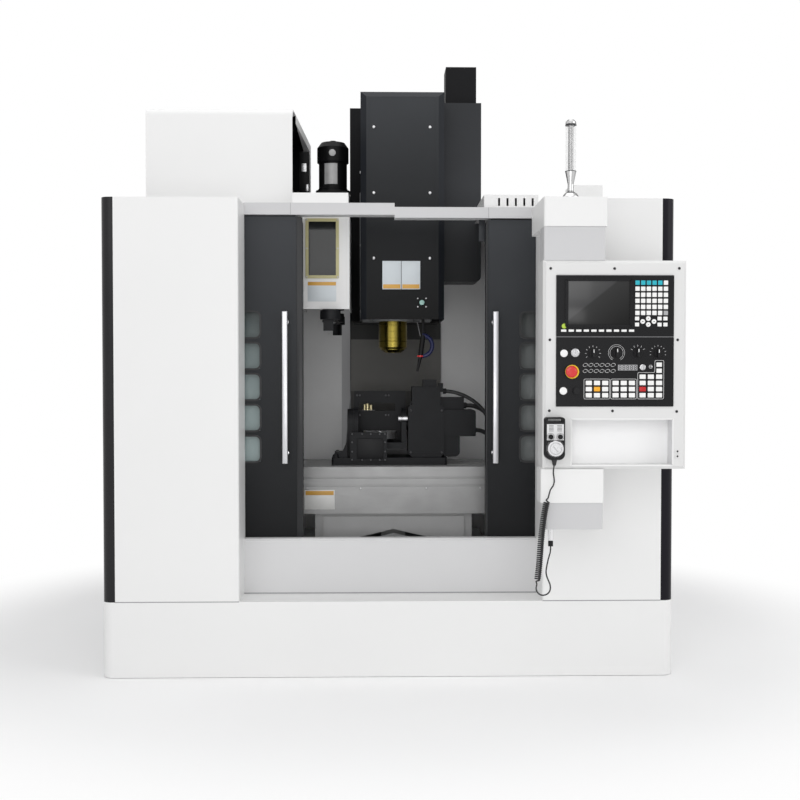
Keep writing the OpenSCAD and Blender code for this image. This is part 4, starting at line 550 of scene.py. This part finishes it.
# %% Colours of the panel
finish("key_white", (0.86, 0.86, 0.85), 0.35, 0.02, 60, 0.05)
finish("key_grey", (0.40, 0.40, 0.41), 0.4, 0.03, 60, 0.05)
finish("key_cyan", (0.01, 0.42, 0.52), 0.35, 0.05, 60, 0.05)
finish("key_amber", (0.88, 0.40, 0.01), 0.35, 0.05, 60, 0.05)
finish("key_red", (0.50, 0.004, 0.006), 0.35, 0.05, 60, 0.05)
finish("line_white", (0.62, 0.62, 0.62), 0.5, 0.02, 60, 0)
finish("yellow_plastic", (0.90, 0.56, 0.01), 0.3, 0.03, 40, 0.05)
finish("lamp_green", (0.45, 0.62, 0.05), 0.3, 0.03, 40, 0.02)
finish("screw_black", (0.03, 0.03, 0.032), 0.35, 0.1, 60, 0.1, metal=0.6)
# Grey for dark joints and a groove, and for the light lines on the black units, which are painted
# highlights.
finish("seam_and_edge_highlight_grey", (0.30, 0.30, 0.31), 0.45, 0.03, 6, 0)
finish("band_grey", (0.70, 0.70, 0.705), 0.42, 0.02, 3, 0.1)

# %% Painted edge highlights of the two units and screws of their frame
PLATE_Y, UNIT_Y = -1090.0, -1093.0
# Painted highlights: thin light lines along the top edges of the two black units.
piece("unit_edge_highlight", "seam_and_edge_highlight_grey", "pendant", block,
      ((562.5, UNIT_Y - 0.35, 1238.3), (961.5, UNIT_Y - 0.02, 1239.7)),
      ((562.5, UNIT_Y - 0.35, 1446.4), (961.5, UNIT_Y - 0.02, 1447.2)))
piece("pendant_screws", "screw_black", "pendant", screw,
      *[((x, PLATE_Y, z), 4.8) for x, z in [(543, 1470), (760, 1470), (980, 1471), (541, 1229),
                                            (976, 1229), (540, 989), (755, 988), (974, 986)]])

# %% Screen with a painted slanting reflection
def screen_painted_reflection(slope, left, middle):
    """Dark glass with a painted reflection in its colour that ends at a slanting line, in metres
    from the origin.
    """
    tree, shader, coord = node_material("screen_painted_reflection")
    parts = add_node(tree, "SeparateXYZ", Vector=coord.outputs["Object"]).outputs
    slant = maths(tree, "MULTIPLY_ADD", parts["X"], -slope, left * slope - middle + 0.5)
    # Painted reflection: the colour steps lighter above the slanting line.
    colour = ramp(tree, maths(tree, "ADD", slant, parts["Z"]),
                  [(0.34, (0.006, 0.006, 0.006)), (0.499, (0.030, 0.030, 0.030)),
                   (0.501, (0.052, 0.052, 0.053)), (0.63, (0.10, 0.10, 0.10))])
    put(shader, Base_Color=colour, Specular_IOR_Level=0.2,
        Roughness=spread(tree, noise(tree, coord, 9.0), 0.12, 0.2))

screen_painted_reflection(0.80, 0.602, 1.294)
piece("screen", "screen_painted_reflection", "pendant", block,
      ((602.4, UNIT_Y - 3, 1279.4), (809.6, UNIT_Y - 2.05, 1428.6), 0.3))
piece("screen_bezel", "gloss_black", "pendant", outline,
      (rectangle(592, 821, 1271, 1437), UNIT_Y, 6, 9.5, 4.6))

# %% Keys of the display unit
KEY_RISE, KEY_BEVEL = 2.9, 1.3

def keys(name, places, size, look):
    """Key caps of one size, each by the middle of its face."""
    wide, tall = size
    piece(name, look, "pendant", block,
          *[((x - wide / 2, UNIT_Y - KEY_RISE, z - tall / 2),
             (x + wide / 2, UNIT_Y - 0.05, z + tall / 2), KEY_BEVEL) for x, z in places])

pad_x = [837.0 + 19.3 * i for i in range(6)]
pad_z = [1422.0 - 20.4 * j for j in range(6)]
keys("soft_keys", [(587 + 25.6 * i, 1260) for i in range(10)], (18, 8), "key_white")
keys("cyan_keys", [(x, pad_z[0]) for x in pad_x[:5]], (15, 15), "key_cyan")
keys("letter_keys", [(pad_x[5], pad_z[0])] + [(x, z) for z in pad_z[1:5] for x in pad_x]
     + [(x, pad_z[5]) for x in pad_x[:5]], (15, 15), "key_white")
keys("page_keys", [(x, z) for x in (836, 912.6, 932.5) for z in (1301, 1280.8)],
     (14.4, 13), "key_white")
keys("grey_key", [(pad_x[5], pad_z[5])], (15, 15), "key_grey")

# %% Arrow keys with their dark marks
arrows = [(874.3, 1301, 2.6), (855.2, 1291, 4.4), (893.6, 1291, 4.4), (874.3, 1280.8, 2.6)]
piece("arrow_keys", "key_white", "pendant", turned,
      *[([(0, 3.2), (6.4, 3.2), (8, 2.0), (8, 0.05)], (x, UNIT_Y, z), "-Y", 24)
        for x, z, wide in arrows])
piece("arrow_marks", "screw_black", "pendant", block,
      *[((x - wide / 2, UNIT_Y - 3.5, z - 1.2), (x + wide / 2, UNIT_Y - 3.1, z + 1.2))
        for x, z, wide in arrows])
piece("ready_lamp", "lamp_green", "pendant", turned,
      ([(0, 1.6), (5, 1.5), (7.5, 0.8), (8.5, 0)], (589, UNIT_Y, 1275.5), "-Y", 24))

# %% Keys of the control unit
group_z = [1083 - 20.8 * j for j in range(3)]
left_x = [673 + 27.8 * i for i in range(3)]
mid_x = [764 + 27.8 * i for i in range(3)]
right_x = [856 + 28 * i for i in range(3)]
amber, red = (left_x[1], group_z[1]), (right_x[0], group_z[1])
white_keys = [(x, z) for x in left_x + mid_x for z in group_z if (x, z) != amber]
white_keys += [(x, z) for x in right_x for z in [1104] + group_z if (x, z) != red]
keys("mode_keys", white_keys, (21, 15.4), "key_white")
keys("cycle_keys", [(912, 1145), (912, 1124.4)], (18.8, 14.8), "key_white")
keys("amber_key", [amber], (21, 15.4), "key_amber")
keys("red_key", [red], (22.4, 15.6), "key_red")

# %% White lines round the groups and the lamps
def oval(x, z, a, b):
    """A slanting oval by its middle, half its width and half its height."""
    return [(x + a * math.cos(math.radians(t)) + 0.3 * b * math.sin(math.radians(t)),
             z + b * math.sin(math.radians(t))) for t in range(0, 360, 15)]

groups = [rectangle(656, 745, 1028, 1097), rectangle(747, 836, 1028, 1097),
          [(839, 1028), (929, 1028), (929, 1160), (897, 1160), (897, 1119), (839, 1119)]]
piece("group_lines", "line_white", "pendant", outline,
      *[(group, UNIT_Y, 5, 1.4, 0.4) for group in groups],
      *[(oval(661 + 18.9 * i, z, 8.0, 6.2), UNIT_Y, 0, 1.5, 0.5)
        for i in range(6) for z in (1144, 1123.6)])

# %% Digits of the tool display, plain eights
piece("digit_panel", "key_grey", "pendant", block,
      ((771.5, UNIT_Y - 3.6, 1125.5), (837.5, UNIT_Y - 3.05, 1144.5), 0.3))

def eight(x, z):
    """The seven bars of a plain eight, as a middle and half a size each."""
    upright = [(x + side, z + half, 0.9, 2.9) for side in (-3.4, 3.4) for half in (-3.6, 3.6)]
    return upright + [(x, z + bar, 2.3, 0.9) for bar in (-7, 0, 7)]

piece("digit_segments", "black_plastic", "pendant", block,
      *[((x - a, UNIT_Y - 4, z - b), (x + a, UNIT_Y - 3.6, z + b))
        for i in range(5) for x, z, a, b in eight(778.5 + 13 * i, 1135)])

# %% [markdown]
# ## Rings, ticks and pointers
# Selector switches are read by their scale: a ring or a fan of ticks on the
# panel, and a bright pointer that turns with the knob. The scale rides on the
# pendant, and each pointer rides on its own knob.

# %% Helpers for scales
def tick(bm, place, angle, middle, width, depth, length):
    """A short bar that points at a centre; 0 degrees is up, positive to the right."""
    size = Matrix.Diagonal((width * MM, depth * MM, length * MM, 1.0))
    bmesh.ops.create_cube(bm, size=1.0,
                          matrix=at(*place) @ swing(angle, "Y") @ at(0, 0, middle) @ size)

def ticks(bm, x, z, angles, inner, outer):
    """A fan of ticks on the unit's face."""
    for angle in angles:
        tick(bm, (x, UNIT_Y - 0.25, z), angle, (inner + outer) / 2, 1.3, 0.5, outer - inner)

def swept(bm, ends, axis, sweep, steps, place):
    """Spins a line between two points about an axis and puts the strip in its place."""
    before = set(bm.verts)
    a, b = [bm.verts.new(Vector(end) * MM) for end in ends]
    bmesh.ops.spin(bm, geom=[a, b, bm.edges.new((a, b))], cent=(0, 0, 0), axis=axis,
                   dvec=(0, 0, 0), angle=math.radians(sweep), steps=steps,
                   use_merge=False, use_duplicate=False)
    made = [v for v in bm.verts if v not in before]
    bmesh.ops.transform(bm, matrix=place, verts=made)
    return made

def arc(bm, x, z, inner, outer, start, sweep):
    """Part of a flat ring on the unit's face; 0 degrees is up."""
    swept(bm, ((0, 0, inner), (0, 0, outer)), (0, 1, 0), sweep, max(6, int(sweep / 8)),
          at(x, UNIT_Y - 0.5, z) @ swing(start, "Y"))

# %% Scales on the panel
MODE, FEED, SPINDLE, RAPID = (687, 1183), (767, 1185), (839, 1185), (908, 1183)
MAIN_KEY = (626, 1185)
bm = bmesh.new()
ticks(bm, *MODE, range(-120, 121, 30), 22, 27)
arc(bm, *FEED, 21.8, 22.8, -150, 300)
arc(bm, *FEED, 27.2, 28.2, -150, 300)
ticks(bm, *SPINDLE, range(-60, 61, 30), 20, 27)
arc(bm, *RAPID, 19.2, 20.8, -80, 160)
ticks(bm, *RAPID, range(-100, 101, 25), 24, 28)
for k in range(12):
    arc(bm, *MAIN_KEY, 15.8, 18.6, 30 * k, 20)
add_piece("panel_scales", bm, "line_white", "pendant")

# %% Pointers and skirts of the knobs
for name, (x, z), body in [("mode_knob", MODE, "mode_selector"),
                           ("feed_knob", FEED, "feed_override"),
                           ("spindle_knob", SPINDLE, "spindle_override"),
                           ("rapid_knob", RAPID, "rapid_override")]:
    piece(name + "_skirt", "gloss_black", body, turned,
          ([(14.0, 0.6), (14.0, 4.5), (12.8, 6.3), (4.2, 6.3)], (x, UNIT_Y, z), "-Y", 40))
    piece(name + "_mark", "key_white", body, block,
          ((x - 1.3, UNIT_Y - 18.5, z + 2), (x + 1.3, UNIT_Y - 17.9, z + 12.4), 0.2),
          ((x - 1.3, UNIT_Y - 18.3, z + 12.2), (x + 1.3, UNIT_Y - 6.2, z + 13.1), 0.2))

# %% Push buttons and emergency stop
for body, x, z in [("start_button", 587, 1183), ("stop_button", 585, 1056)]:
    piece(body + "_cap", "key_white", body, turned,
          ([(0, 12.4), (9.5, 12.2), (12.0, 11.4), (12.8, 10.2), (12.8, 9.3), (10.8, 9.3)],
           (x, UNIT_Y, z), "-Y", 40))
piece("stop_plate", "yellow_plastic", "pendant", turned,
      ([(16.0, 3.2), (20.4, 3.2), (23.2, 2.2), (23.6, 0.05)], (616.5, UNIT_Y, 1121), "-Y", 48))

# %% Ring of the key switch and nuts of the small switches
piece("switch_rings", "chrome", "pendant", turned,
      ([(12.6, 0.05), (13.9, 0.05), (13.9, 4.5), (12.6, 5.2)],
       (MAIN_KEY[0], UNIT_Y, MAIN_KEY[1]), "-Y", 40),
      ([(5.2, 2.4), (6.6, 2.4), (7.2, 0.05)], (883, UNIT_Y, 1138), "-Y", 6),
      ([(8.4, 0.05), (9.6, 0.05), (9.6, 3.0), (8.4, 3.4)], (856, UNIT_Y, 1136), "-Y", 32))

# %% [markdown]
# ## Pocket and handset
# The pocket under the units has a thin lip, and the handset hangs by a
# magnet. Its dial has click marks and a groove for the finger, and the cord
# leaves it through a ribbed boot.

# %% Pocket lip and small screws
piece("pocket_lip", "white_paint", "pendant", outline,
      (rectangle(612, 964, 800, 963), PLATE_Y, 3, 5, 1.0))
piece("socket_caps", "screw_black", "pendant", turned,
      *[([(0, 0.8), (2.6, 0.8), (3.4, 0)], (977, PLATE_Y - 3, z), "-Y", 16)
        for z in (833.5, 850.5)])

# %% Plate and scales of the handset
HAND_X, HAND_Y, DIAL_Z = 553, -1137, 864
piece("handset_plate", "band_grey", "pendant", block,
      ((HAND_X - 28.5, HAND_Y - 1.7, 891.5), (HAND_X + 28.5, HAND_Y - 1.05, 945.5), 0.3))
bm = bmesh.new()
for side in (-16, 16):
    for radius in (10.6, 13.0):
        turned(bm, [(radius - 0.6, 2.0), (radius, 2.0)], (HAND_X + side, HAND_Y, 903))
for k in range(5):
    for x in (HAND_X - 22, HAND_X + 6):
        block(bm, (x, HAND_Y - 2.1, 922 + 4.5 * k), (x + 16, HAND_Y - 1.65, 923.4 + 4.5 * k))
add_piece("handset_scale", bm, "screw_black", "pendant")
piece("dial_marks", "line_white", "pendant", tick,
      *[((HAND_X, HAND_Y - 0.3, DIAL_Z), 7.2 * k, 28.5, 0.5, 0.5, 3.0 if k % 5 else 4.6)
        for k in range(50)])

# %% Dial and boot of the handset
bm = bmesh.new()
turned(bm, [(18.4, 12.05), (18.8, 12.4), (19.6, 12.4), (20.0, 12.05)],
       (HAND_X, HAND_Y, DIAL_Z), "-Y", 48)
rod(bm, (HAND_X - 9, HAND_Y - 12.3, 872), (HAND_X + 7, HAND_Y - 12.3, 853), 1.0, sides=8)
add_piece("dial_groove", bm, "seam_and_edge_highlight_grey", "handset_dial")
piece("dial_rim", "chrome", "handset_dial", turned,
      ([(25.5, 0.8), (26.4, 1.2), (26.4, 9.5), (24.2, 12.2), (22.6, 12.2)],
       (HAND_X, HAND_Y, DIAL_Z), "-Y", 48))
piece("cord_boot", "cord_rubber", "pendant", turned,
      ([(9.5, 0), (9.5, -6), (8.6, -7), (8.6, -9), (8.0, -10), (8.0, -12), (7.2, -13),
        (7.2, -15), (5.6, -22), (2.7, -24)], (HAND_X, CORD_Y * 1000, 828), "Z", 28))

# %% [markdown]
# ## Doors
# The pull bars are bright brushed tubes, the windows sit in thin rubber, and
# the closing edges have a lighter strip that catches the light.

# %% Pull bars
finish("brushed_bar", (0.56, 0.56, 0.58), 0.32, 0.03, 12, 0.06, metal=0.85, skin=240,
       stretch=(1.0, 1.0, 0.03))
for name, x, body in [("left_bar", -393, "left_leaf"), ("right_bar", 407, "right_leaf")]:
    piece(name, "brushed_bar", body, block,
          ((x - 10.6, -639.6, 771.4), (x + 10.6, -622.4, 1350.6), 4.0, 3))
    piece(name + "_feet", "chrome", body, turned,
          *[([(9.0, -8.5), (9.0, 0), (12.5, 0.1), (12.5, 2.4)], (x, -604, z), "Y", 28)
            for z in (812, 1310)])

# %% Window rubbers and edge strips
finish("strip_paint", (0.018, 0.0185, 0.020), 0.3, 0.06, 3, 0.08, gloss=0.3)
for side, x0, x1 in [("left", -730, -490), ("right", 506, 746)]:
    piece(side + "_window_rubber", "cord_rubber", side + "_leaf", outline,
          *[(rectangle(x0 - 5, x1 + 5, z - 5, z + 103), -595, 24, 7, 1.6)
            for z in [777 + 118.5 * row for row in range(5)]])
for side, x0, x1, top in [("left", -350, -327.4, 1708), ("right", 373.4, 381, 1697)]:
    piece(side + "_edge_strip", "strip_paint", side + "_leaf", block,
          ((x0, -597.0, 487), (x1, -594.8, top), 0.8))

# %% Stop bracket behind the right leaf
piece("leaf_stop", "dark_paint", "frame", block,
      ((349, -552, 1624), (373, -546, 1706), 1.0), ((353, -553.4, 1640), (369, -551.9, 1690), 0.6))

# %% [markdown]
# ## Head
# The sheet-metal cover is held by button screws along its seams. The sight
# glass of the lubrication has a dark ring, and two bare plates stay where the
# real machine has its labels.

# %% Screws and plates of the head
finish("plate_pale", (0.66, 0.71, 0.74), 0.35, 0.03, 10, 0.02)
finish("plate_mark", (0.70, 0.38, 0.07), 0.4, 0.04, 10, 0)
HEAD_Y = -312.0
piece("head_screws", "steel", "head", screw,
      *[((x, HEAD_Y, z), 6.5) for x in (-57, 171.5) for z in (2114, 1848, 1583)],
      *[((-111, -215, z), 6.5, "-X") for z in (1947, 1645, 1372)],
      *[((231, -215, z), 6.5, "X") for z in (1497, 1352)])
piece("head_plate", "plate_pale", "head", block,
      *[((x, HEAD_Y - 1.0, 1457), (x + 76, HEAD_Y, 1572), 0.5) for x in (-22, 56)])
piece("head_plate_foot", "plate_mark", "head", block,
      *[((x, HEAD_Y - 1.4, 1460), (x + 70, HEAD_Y - 0.9, 1477), 0.2) for x in (-19, 59)])

# %% Sight glass
finish("oil_glass", (0.30, 0.52, 0.47), 0.15, 0.08, 60, 0)
SIGHT_X, SIGHT_Z = 139, 1403
piece("sight_ring", "black_plastic", "head", turned,
      ([(10.4, 6.0), (12.6, 6.0), (13.4, 5.0), (13.4, 2.0)], (SIGHT_X, -310, SIGHT_Z), "-Y", 40))
corners = [round_point(SIGHT_X, SIGHT_Z, 24, a) for a in range(45, 360, 90)]
piece("sight_screws", "steel", "head", screw, *[((x, HEAD_Y, z), 3.2) for x, z in corners])
piece("sight_glass", "oil_glass", "head", turned,
      ([(0, 7.4), (6, 7.0), (10.3, 6.1)], (SIGHT_X, -310, SIGHT_Z)))

# %% Jointed coolant hoses and the sensor's wire
HOSE_Y = -258
piece("hose_band", "red_plastic", "head", turned,
      ([(9.6, 0), (14.6, 0.6), (14.6, 6.4), (9.6, 7)], (134.6, HOSE_Y, 1182), "Z", 28))

def links(bm, points, wide, narrow):
    """Cupped links of a jointed hose, one from each point to the next."""
    for start, end in zip(points, points[1:]):
        rod(bm, start, end, wide, narrow, overlap=1.04)

ring = [round_point(1229, 141, 44, a) for a in range(2, 187, 15)]
piece("blue_links", "blue_plastic", "head", links,
      ([(x, HOSE_Y, z) for z, x in ring], 9.4, 7.2))
piece("black_links", "black_plastic", "head", links,
      ([(146 - 1.45 * k, HOSE_Y, 1271 - 11.8 * k) for k in range(8)], 11.5, 9.4))
piece("sensor_wire", "way_steel", "head", rod,
      ((122, -262, 1326), (134, -262, 1270), 1.6, 1.6, 10),
      ((134, -262, 1270), (146, -260, 1262), 1.6, 1.6, 10))

# %% Polished rings and screws of the nose
NOSE_X, NOSE_Y = 23, -145
piece("nose_rings", "brass", "spindle", turned,
      *[([(60.05, -1.5), (60.6, -0.8), (60.6, 0.8), (60.05, 1.5)], (NOSE_X, NOSE_Y, z), "Z", 64)
        for z in (1262, 1290, 1316)],
      *[([(0, 1.6), (3.4, 1.6), (5.2, 0.2), (5.2, 0)],
         (*round_point(NOSE_X, NOSE_Y, 47, a), 1214), "-Z", 16) for a in range(30, 360, 60)])

# %% [markdown]
# ## Tool changer
# A servo motor turns the double arm. Its plate is bent round the housing and
# left bare. Behind the cover's window the tools wait on their disc.

# %% Curved plate, badge and rings of the motor
def curved_plate(bm, x, y, radius, start, sweep, z0, z1, thick):
    """A thin plate bent round an upright cylinder; 0 degrees faces the front."""
    verts = swept(bm, ((0, -radius, z0), (0, -radius, z1)), (0, 0, 1), sweep, 12,
                  at(x, y, 0) @ swing(start, "Z"))
    faces = list({f for v in verts for f in v.link_faces})
    bmesh.ops.solidify(bm, geom=faces, thickness=thick * MM)

finish("plate_dull", (0.36, 0.36, 0.36), 0.4, 0.08, 30, 0.05, metal=0.2)
ARM_X, ARM_Y = -229, -145
piece("motor_plate", "plate_dull", "frame", curved_plate,
      (ARM_X, ARM_Y, 59.3, -33, 53, 1902, 1988, 0.8))
piece("motor_badge", "plate_dull", "frame", turned,
      ([(0, 1.4), (11, 1.2), (14, 0.2), (14, -1)], (ARM_X, ARM_Y - 66, 2030)))
bm = bmesh.new()
for z in (1884, 1994):
    turned(bm, [(59.2, 0), (61.5, 1), (61.5, 4), (59.2, 5)], (ARM_X, ARM_Y, z), "Z", 56)
for a in (45, 135, 225, 315):
    x, y = round_point(ARM_X, ARM_Y, 58, a)
    rod(bm, (x, y, 1878), (x, y, 1888), 5, sides=6)
add_piece("motor_rings", bm, "motor_black", "frame")

# %% Drive of the tool disc above its carrier
piece("disc_motor", "motor_black", "frame", block,
      ((-370, -150, 1858.2), (-330, -64, 2046), 3), ((-376, -160, 1858.2), (-324, -56, 1872), 2))
piece("disc_motor_plate", "steel", "frame", block,
      ((-360, -151.0, 1962), (-340, -150, 1996), 0.5),
      ((-342, -152.4, 1880), (-332, -150, 1908), 0.5))

# %% Front of the changer's cover and bolts of its arm
COVER_Y = -390
piece("cover_strip", "olive_frame", "frame", block,
      ((-345.4, COVER_Y - 0.9, 1497), (-338, COVER_Y, 1674), 0.3))
piece("cover_plate", "plate_pale", "frame", block,
      ((-321, COVER_Y - 0.8, 1402), (-207, COVER_Y, 1481), 0.4))
piece("cover_band", "plate_mark", "frame", block,
      ((-320, COVER_Y - 1.3, 1466), (-208, COVER_Y - 0.7, 1480), 0.2))
piece("cover_screws", "steel", "frame", screw,
      *[((x, COVER_Y - 6, z), 3.6) for x in (-324, -201) for z in (1499, 1613, 1727)])
piece("arm_bolts", "steel", "changer_arm", turned,
      *[([(0, 1.4), (3.6, 1.4), (5.0, 0)], (ARM_X - 28, ARM_Y + hand - 8, z), "-X", 6)
        for hand in (-252, 252) for z in (1290, 1318)],
      ([(0, 5), (9, 5), (12, 0)], (ARM_X, ARM_Y, 1330), "-Z"))

# %% [markdown]
# ## Rotary unit and table
# The tilting table is cast, black and bolted together with socket screws. A
# few brass and bright parts show in the slot of its back plate.

# %% Screws and panel of the rotary unit
finish("pale_brass", (0.62, 0.55, 0.34), 0.3, 0.1, 40, 0.05, metal=0.8)
finish("screw_dull", (0.10, 0.10, 0.105), 0.4, 0.1, 60, 0.1, metal=0.5)
BOX_Y, DRIVE_Y = -263, -230
piece("rotary_screws", "screw_dull", "table", screw,
      *[((x, BOX_Y, z), 4.2) for x in (-147, -106, -70, -33, -11) for z in (864, 757)],
      *[((x, BOX_Y, z), 4.2) for x in (-147, -11) for z in (830, 791)],
      *[((x, DRIVE_Y, z), 5.0) for z in (785, 960) for x in (96, 226)])
piece("box_panel", "black_plastic", "table", block, ((-126, -260.6, 762), (-20, -259.1, 844), 1.5))

# %% Parts in the slot of the cradle's back plate
piece("cradle_fittings", "pale_brass", "cradle", turned,
      *[([(0, tall), (r - 1, tall), (r, tall - 1), (r, 6), (r + 1.5, 5), (r + 1.5, 0)],
         (x, -61, 956), "Z", 24) for x, r, tall in ((-98, 5, 25), (-85, 7, 29), (-70, 6, 23))])
bm = bmesh.new()
block(bm, (-108, -68, 953.4), (-52, -54, 957), 0.8)
for x in (-130, -118, -6, 6):
    for z in (1020, 935):
        screw(bm, (x, -73, z), 4.5)
add_piece("cradle_screws", bm, "screw_dull", "cradle")
piece("trunnion_bar", "steel", "cradle", turned,
      ([(0, 0), (10, 0), (11, 1), (11, 14), (9, 15), (9, 17), (11, 18), (11, 39), (10, 40),
        (0, 40)], (44, -209, 925), "X"))

# %% Rim of the drive's cover and glands of the cables
piece("drive_cover", "rotary_black", "table", outline,
      (rectangle(92, 230, 779, 1000), DRIVE_Y, 14, 5, 1.2))

def gland(r, wide=3.7, neck=12, tall=15, chamfer=2.5):
    """The profile of a gland round a cable of radius r."""
    return [(r, 0), (r + wide, 0), (r + wide, neck), (r + wide - chamfer, tall), (r, tall)]

piece("cable_glands", "black_plastic", "table", turned,
      (gland(8.3, 3.2, chamfer=2.0), (232, -190, 1040), "X", 6),
      (gland(9.3), (320, -150, 979), "X", 6),
      (gland(9.3, neck=10, tall=12), (368, -110, 872), "X", 6),
      *[(gland(r, 3.5), (451, y, 763), "Z", 6)
        for y, r in ((-190, 8.3), (-150, 9.3), (-110, 9.3))])

# %% Plate on the table's apron
APRON_Y = -345
piece("apron_plate", "white_plastic", "table", block,
      ((-338, APRON_Y - 0.9, 562.5), (-216, APRON_Y, 642), 0.5))
piece("apron_band", "plate_mark", "table", block,
      ((-334, APRON_Y - 1.4, 621), (-220, APRON_Y - 0.8, 638), 0.2))
piece("apron_screws", "steel", "table", screw,
      *[((x, APRON_Y, 648), 4.5) for x in (-330, -110, 156, 376)])

# %% [markdown]
# ## Outside
# The sheet-metal base shows its joints and a few screws. The signal lamp's
# pole is bright, and everything at the back stays plain, as on such machines.

# %% Skirt that closes the gap under the plinth
def band(bm, x0, x1, y0, y1, z0, z1, radius, thick):
    """A thin upright band round a rectangle with rounded corners, in millimetres."""
    face = bm.faces.new([bm.verts.new((x * MM, y * MM, z0 * MM))
                         for x, y in ((x0, y0), (x1, y0), (x1, y1), (x0, y1))])
    bmesh.ops.bevel(bm, geom=list(face.verts), offset=radius * MM, segments=8, profile=0.5,
                    affect="VERTICES", material=-1)
    edges = list(bm.edges)
    bmesh.ops.delete(bm, geom=list(bm.faces), context="FACES_ONLY")
    lift(bm, bmesh.ops.extrude_edge_only(bm, edges=edges), (0, 0, z1 - z0))
    bmesh.ops.recalc_face_normals(bm, faces=bm.faces)
    bmesh.ops.solidify(bm, geom=list(bm.faces), thickness=thick * MM)

piece("plinth_skirt", "white_paint", "frame", band,
      (-1050.1, 1050.1, -790.1, 1130.1, 1.5, 33.8, 40, 2))

# %% Lid over the small box and seals of the signal lamp
piece("duct_lid", "white_paint", "frame", block, ((733, -386, 1754.2), (862, -260, 1870), 2))

def seal(radius, low, high):
    """The profile of a thin ring, open to the pole that it lies on."""
    return [(radius - 0.5, low), (radius + 0.5, low), (radius + 0.5, high), (radius - 0.5, high)]

lamp_foot = min(corner[2] for corner in nodes["signal_lamp"].bound_box) / MM
piece("lamp_seals", "seal_black_and_edge_shade", "frame", turned,
      *[(seal(*ring), (619, -1035, lamp_foot), "Z", 40) for ring in
        ((29.0, 0.2, 2.4), (10.0, 24.5, 26.1), (18.6, 91.5, 93.7), (18.6, 248.5, 251.1))])

# %% Joint lines of the sheet metal
piece("panel_joints", "seam_and_edge_highlight_grey", "frame", block,
      ((-1000, -790.25, 277.6), (-549, -789.9, 281.0)),
      ((564, -790.25, 277.6), (1000, -789.9, 281.0)),
      ((-548, -640.25, 279.4), (563, -639.9, 283.5)),
      ((-372.8, -609.3, 1717.5), (-371.2, -608.9, 1761.5)),
      ((380.2, -609.3, 1706.5), (381.8, -608.9, 1746.5)))

# %% Panel screws, cabinet lock and mains gland
piece("panel_screws", "steel", "frame", screw,
      *[((x, -500, z), 6, axis) for x, axis in ((-1048, "-X"), (1048, "X"))
        for z in (330, 900, 1500, 1700)],
      *[((x, 450, z), 6, "Y") for x in (-900, -620, 620, 900) for z in (1600, 420)])
piece("cabinet_lock", "chrome", "cabinet_door", turned,
      ([(0, 4), (9, 4), (11, 2), (11, 0)], (409, 1149, 1190), "Y", 28))
piece("mains_gland", "black_plastic", "frame", turned,
      ([(16.5, 0), (24, 0), (24, 8), (20, 12), (16.5, 12)], (477, 1060, 560), "X", 6))

# %% [markdown]
# ## Floor and light
# A pale floor catches one soft shadow. The camera sees a white background,
# while the machine itself is lit by a soft grey room and large area lamps.

# %% Floor
def shown_rays(tree):
    """1 for what the camera sees straight, in a gloss or through glass."""
    rays = tree.nodes.new("ShaderNodeLightPath").outputs
    straight = maths(tree, "ADD", rays["Is Camera Ray"], rays["Is Glossy Ray"], clamp=True)
    return maths(tree, "ADD", straight, rays["Is Transmission Ray"], clamp=True)

def add_floor(near, far):
    """A pale floor that fades to a white backdrop between two distances in metres."""
    bm = bmesh.new()
    bmesh.ops.create_grid(bm, x_segments=1, y_segments=1, size=14.0)
    floor = add_object("floor", mesh_of(bm, "floor"))
    tree, shader, coord = node_material("floor_paint")
    pale = ramp(tree, noise(tree, coord, 0.8),
                [(0.3, (0.92, 0.92, 0.92)), (0.7, (0.94, 0.94, 0.94))])
    put(shader, Base_Color=pale, Roughness=0.8)
    reach = add_node(tree, "VectorMath", Vector=coord.outputs["Object"])
    reach.operation = "LENGTH"
    fade = map_range(tree, reach.outputs["Value"], near, far)
    fade.interpolation_type = "SMOOTHSTEP"
    seen = maths(tree, "MULTIPLY", fade.outputs["Result"], shown_rays(tree))
    backdrop = add_node(tree, "Emission", Strength=1.0)
    join = add_node(tree, "MixShader", Fac=seen)
    tree.links.new(shader.outputs["BSDF"], join.inputs[1])
    tree.links.new(backdrop.outputs["Emission"], join.inputs[2])
    put(tree.nodes["Material Output"], Surface=join.outputs["Shader"])
    floor.data.materials.append(looks["floor_paint"])

add_floor(1.5, 2.4)
print("floor fades to white from 1.5 to 2.4 m")

# %% Background and room light
world = bpy.context.scene.world = bpy.data.worlds.new("room")
world.use_nodes = True
tree = world.node_tree
shown = mix_colours(tree, "MIX", Factor=shown_rays(tree), A=(0.62, 0.62, 0.625, 1.0),
                    B=(1.0, 1.0, 1.0, 1.0))
put(tree.nodes["Background"], Color=shown, Strength=1.0)

# %% Lamps
def add_lamp(name, place, aim, size, power):
    """A rectangular area lamp that looks at a point, in metres and watts."""
    data = bpy.data.lights.new(name, "AREA")
    data.shape = "RECTANGLE"
    data.size, data.size_y = size
    data.energy = power
    lamp = add_object(name, data)
    lamp.location = place
    lamp.rotation_euler = (Vector(aim) - Vector(place)).to_track_quat("-Z", "Y").to_euler()
    print(name, power, "W, size", size)

add_lamp("front_lamp", (-1.2, -6.0, 3.4), (0.0, 0.0, 1.0), (5.0, 3.0), 60)
add_lamp("low_lamp", (0.0, -3.9, 0.85), (0.0, 0.0, 0.75), (1.4, 0.7), 10)
add_lamp("side_lamp", (4.5, -3.0, 3.0), (0.0, -0.5, 1.0), (3.0, 3.0), 45)
add_lamp("top_lamp", (0.0, -0.6, 5.2), (0.0, -0.3, 0.0), (4.0, 4.0), 60)
bpy.context.scene.view_settings.view_transform = "Standard"
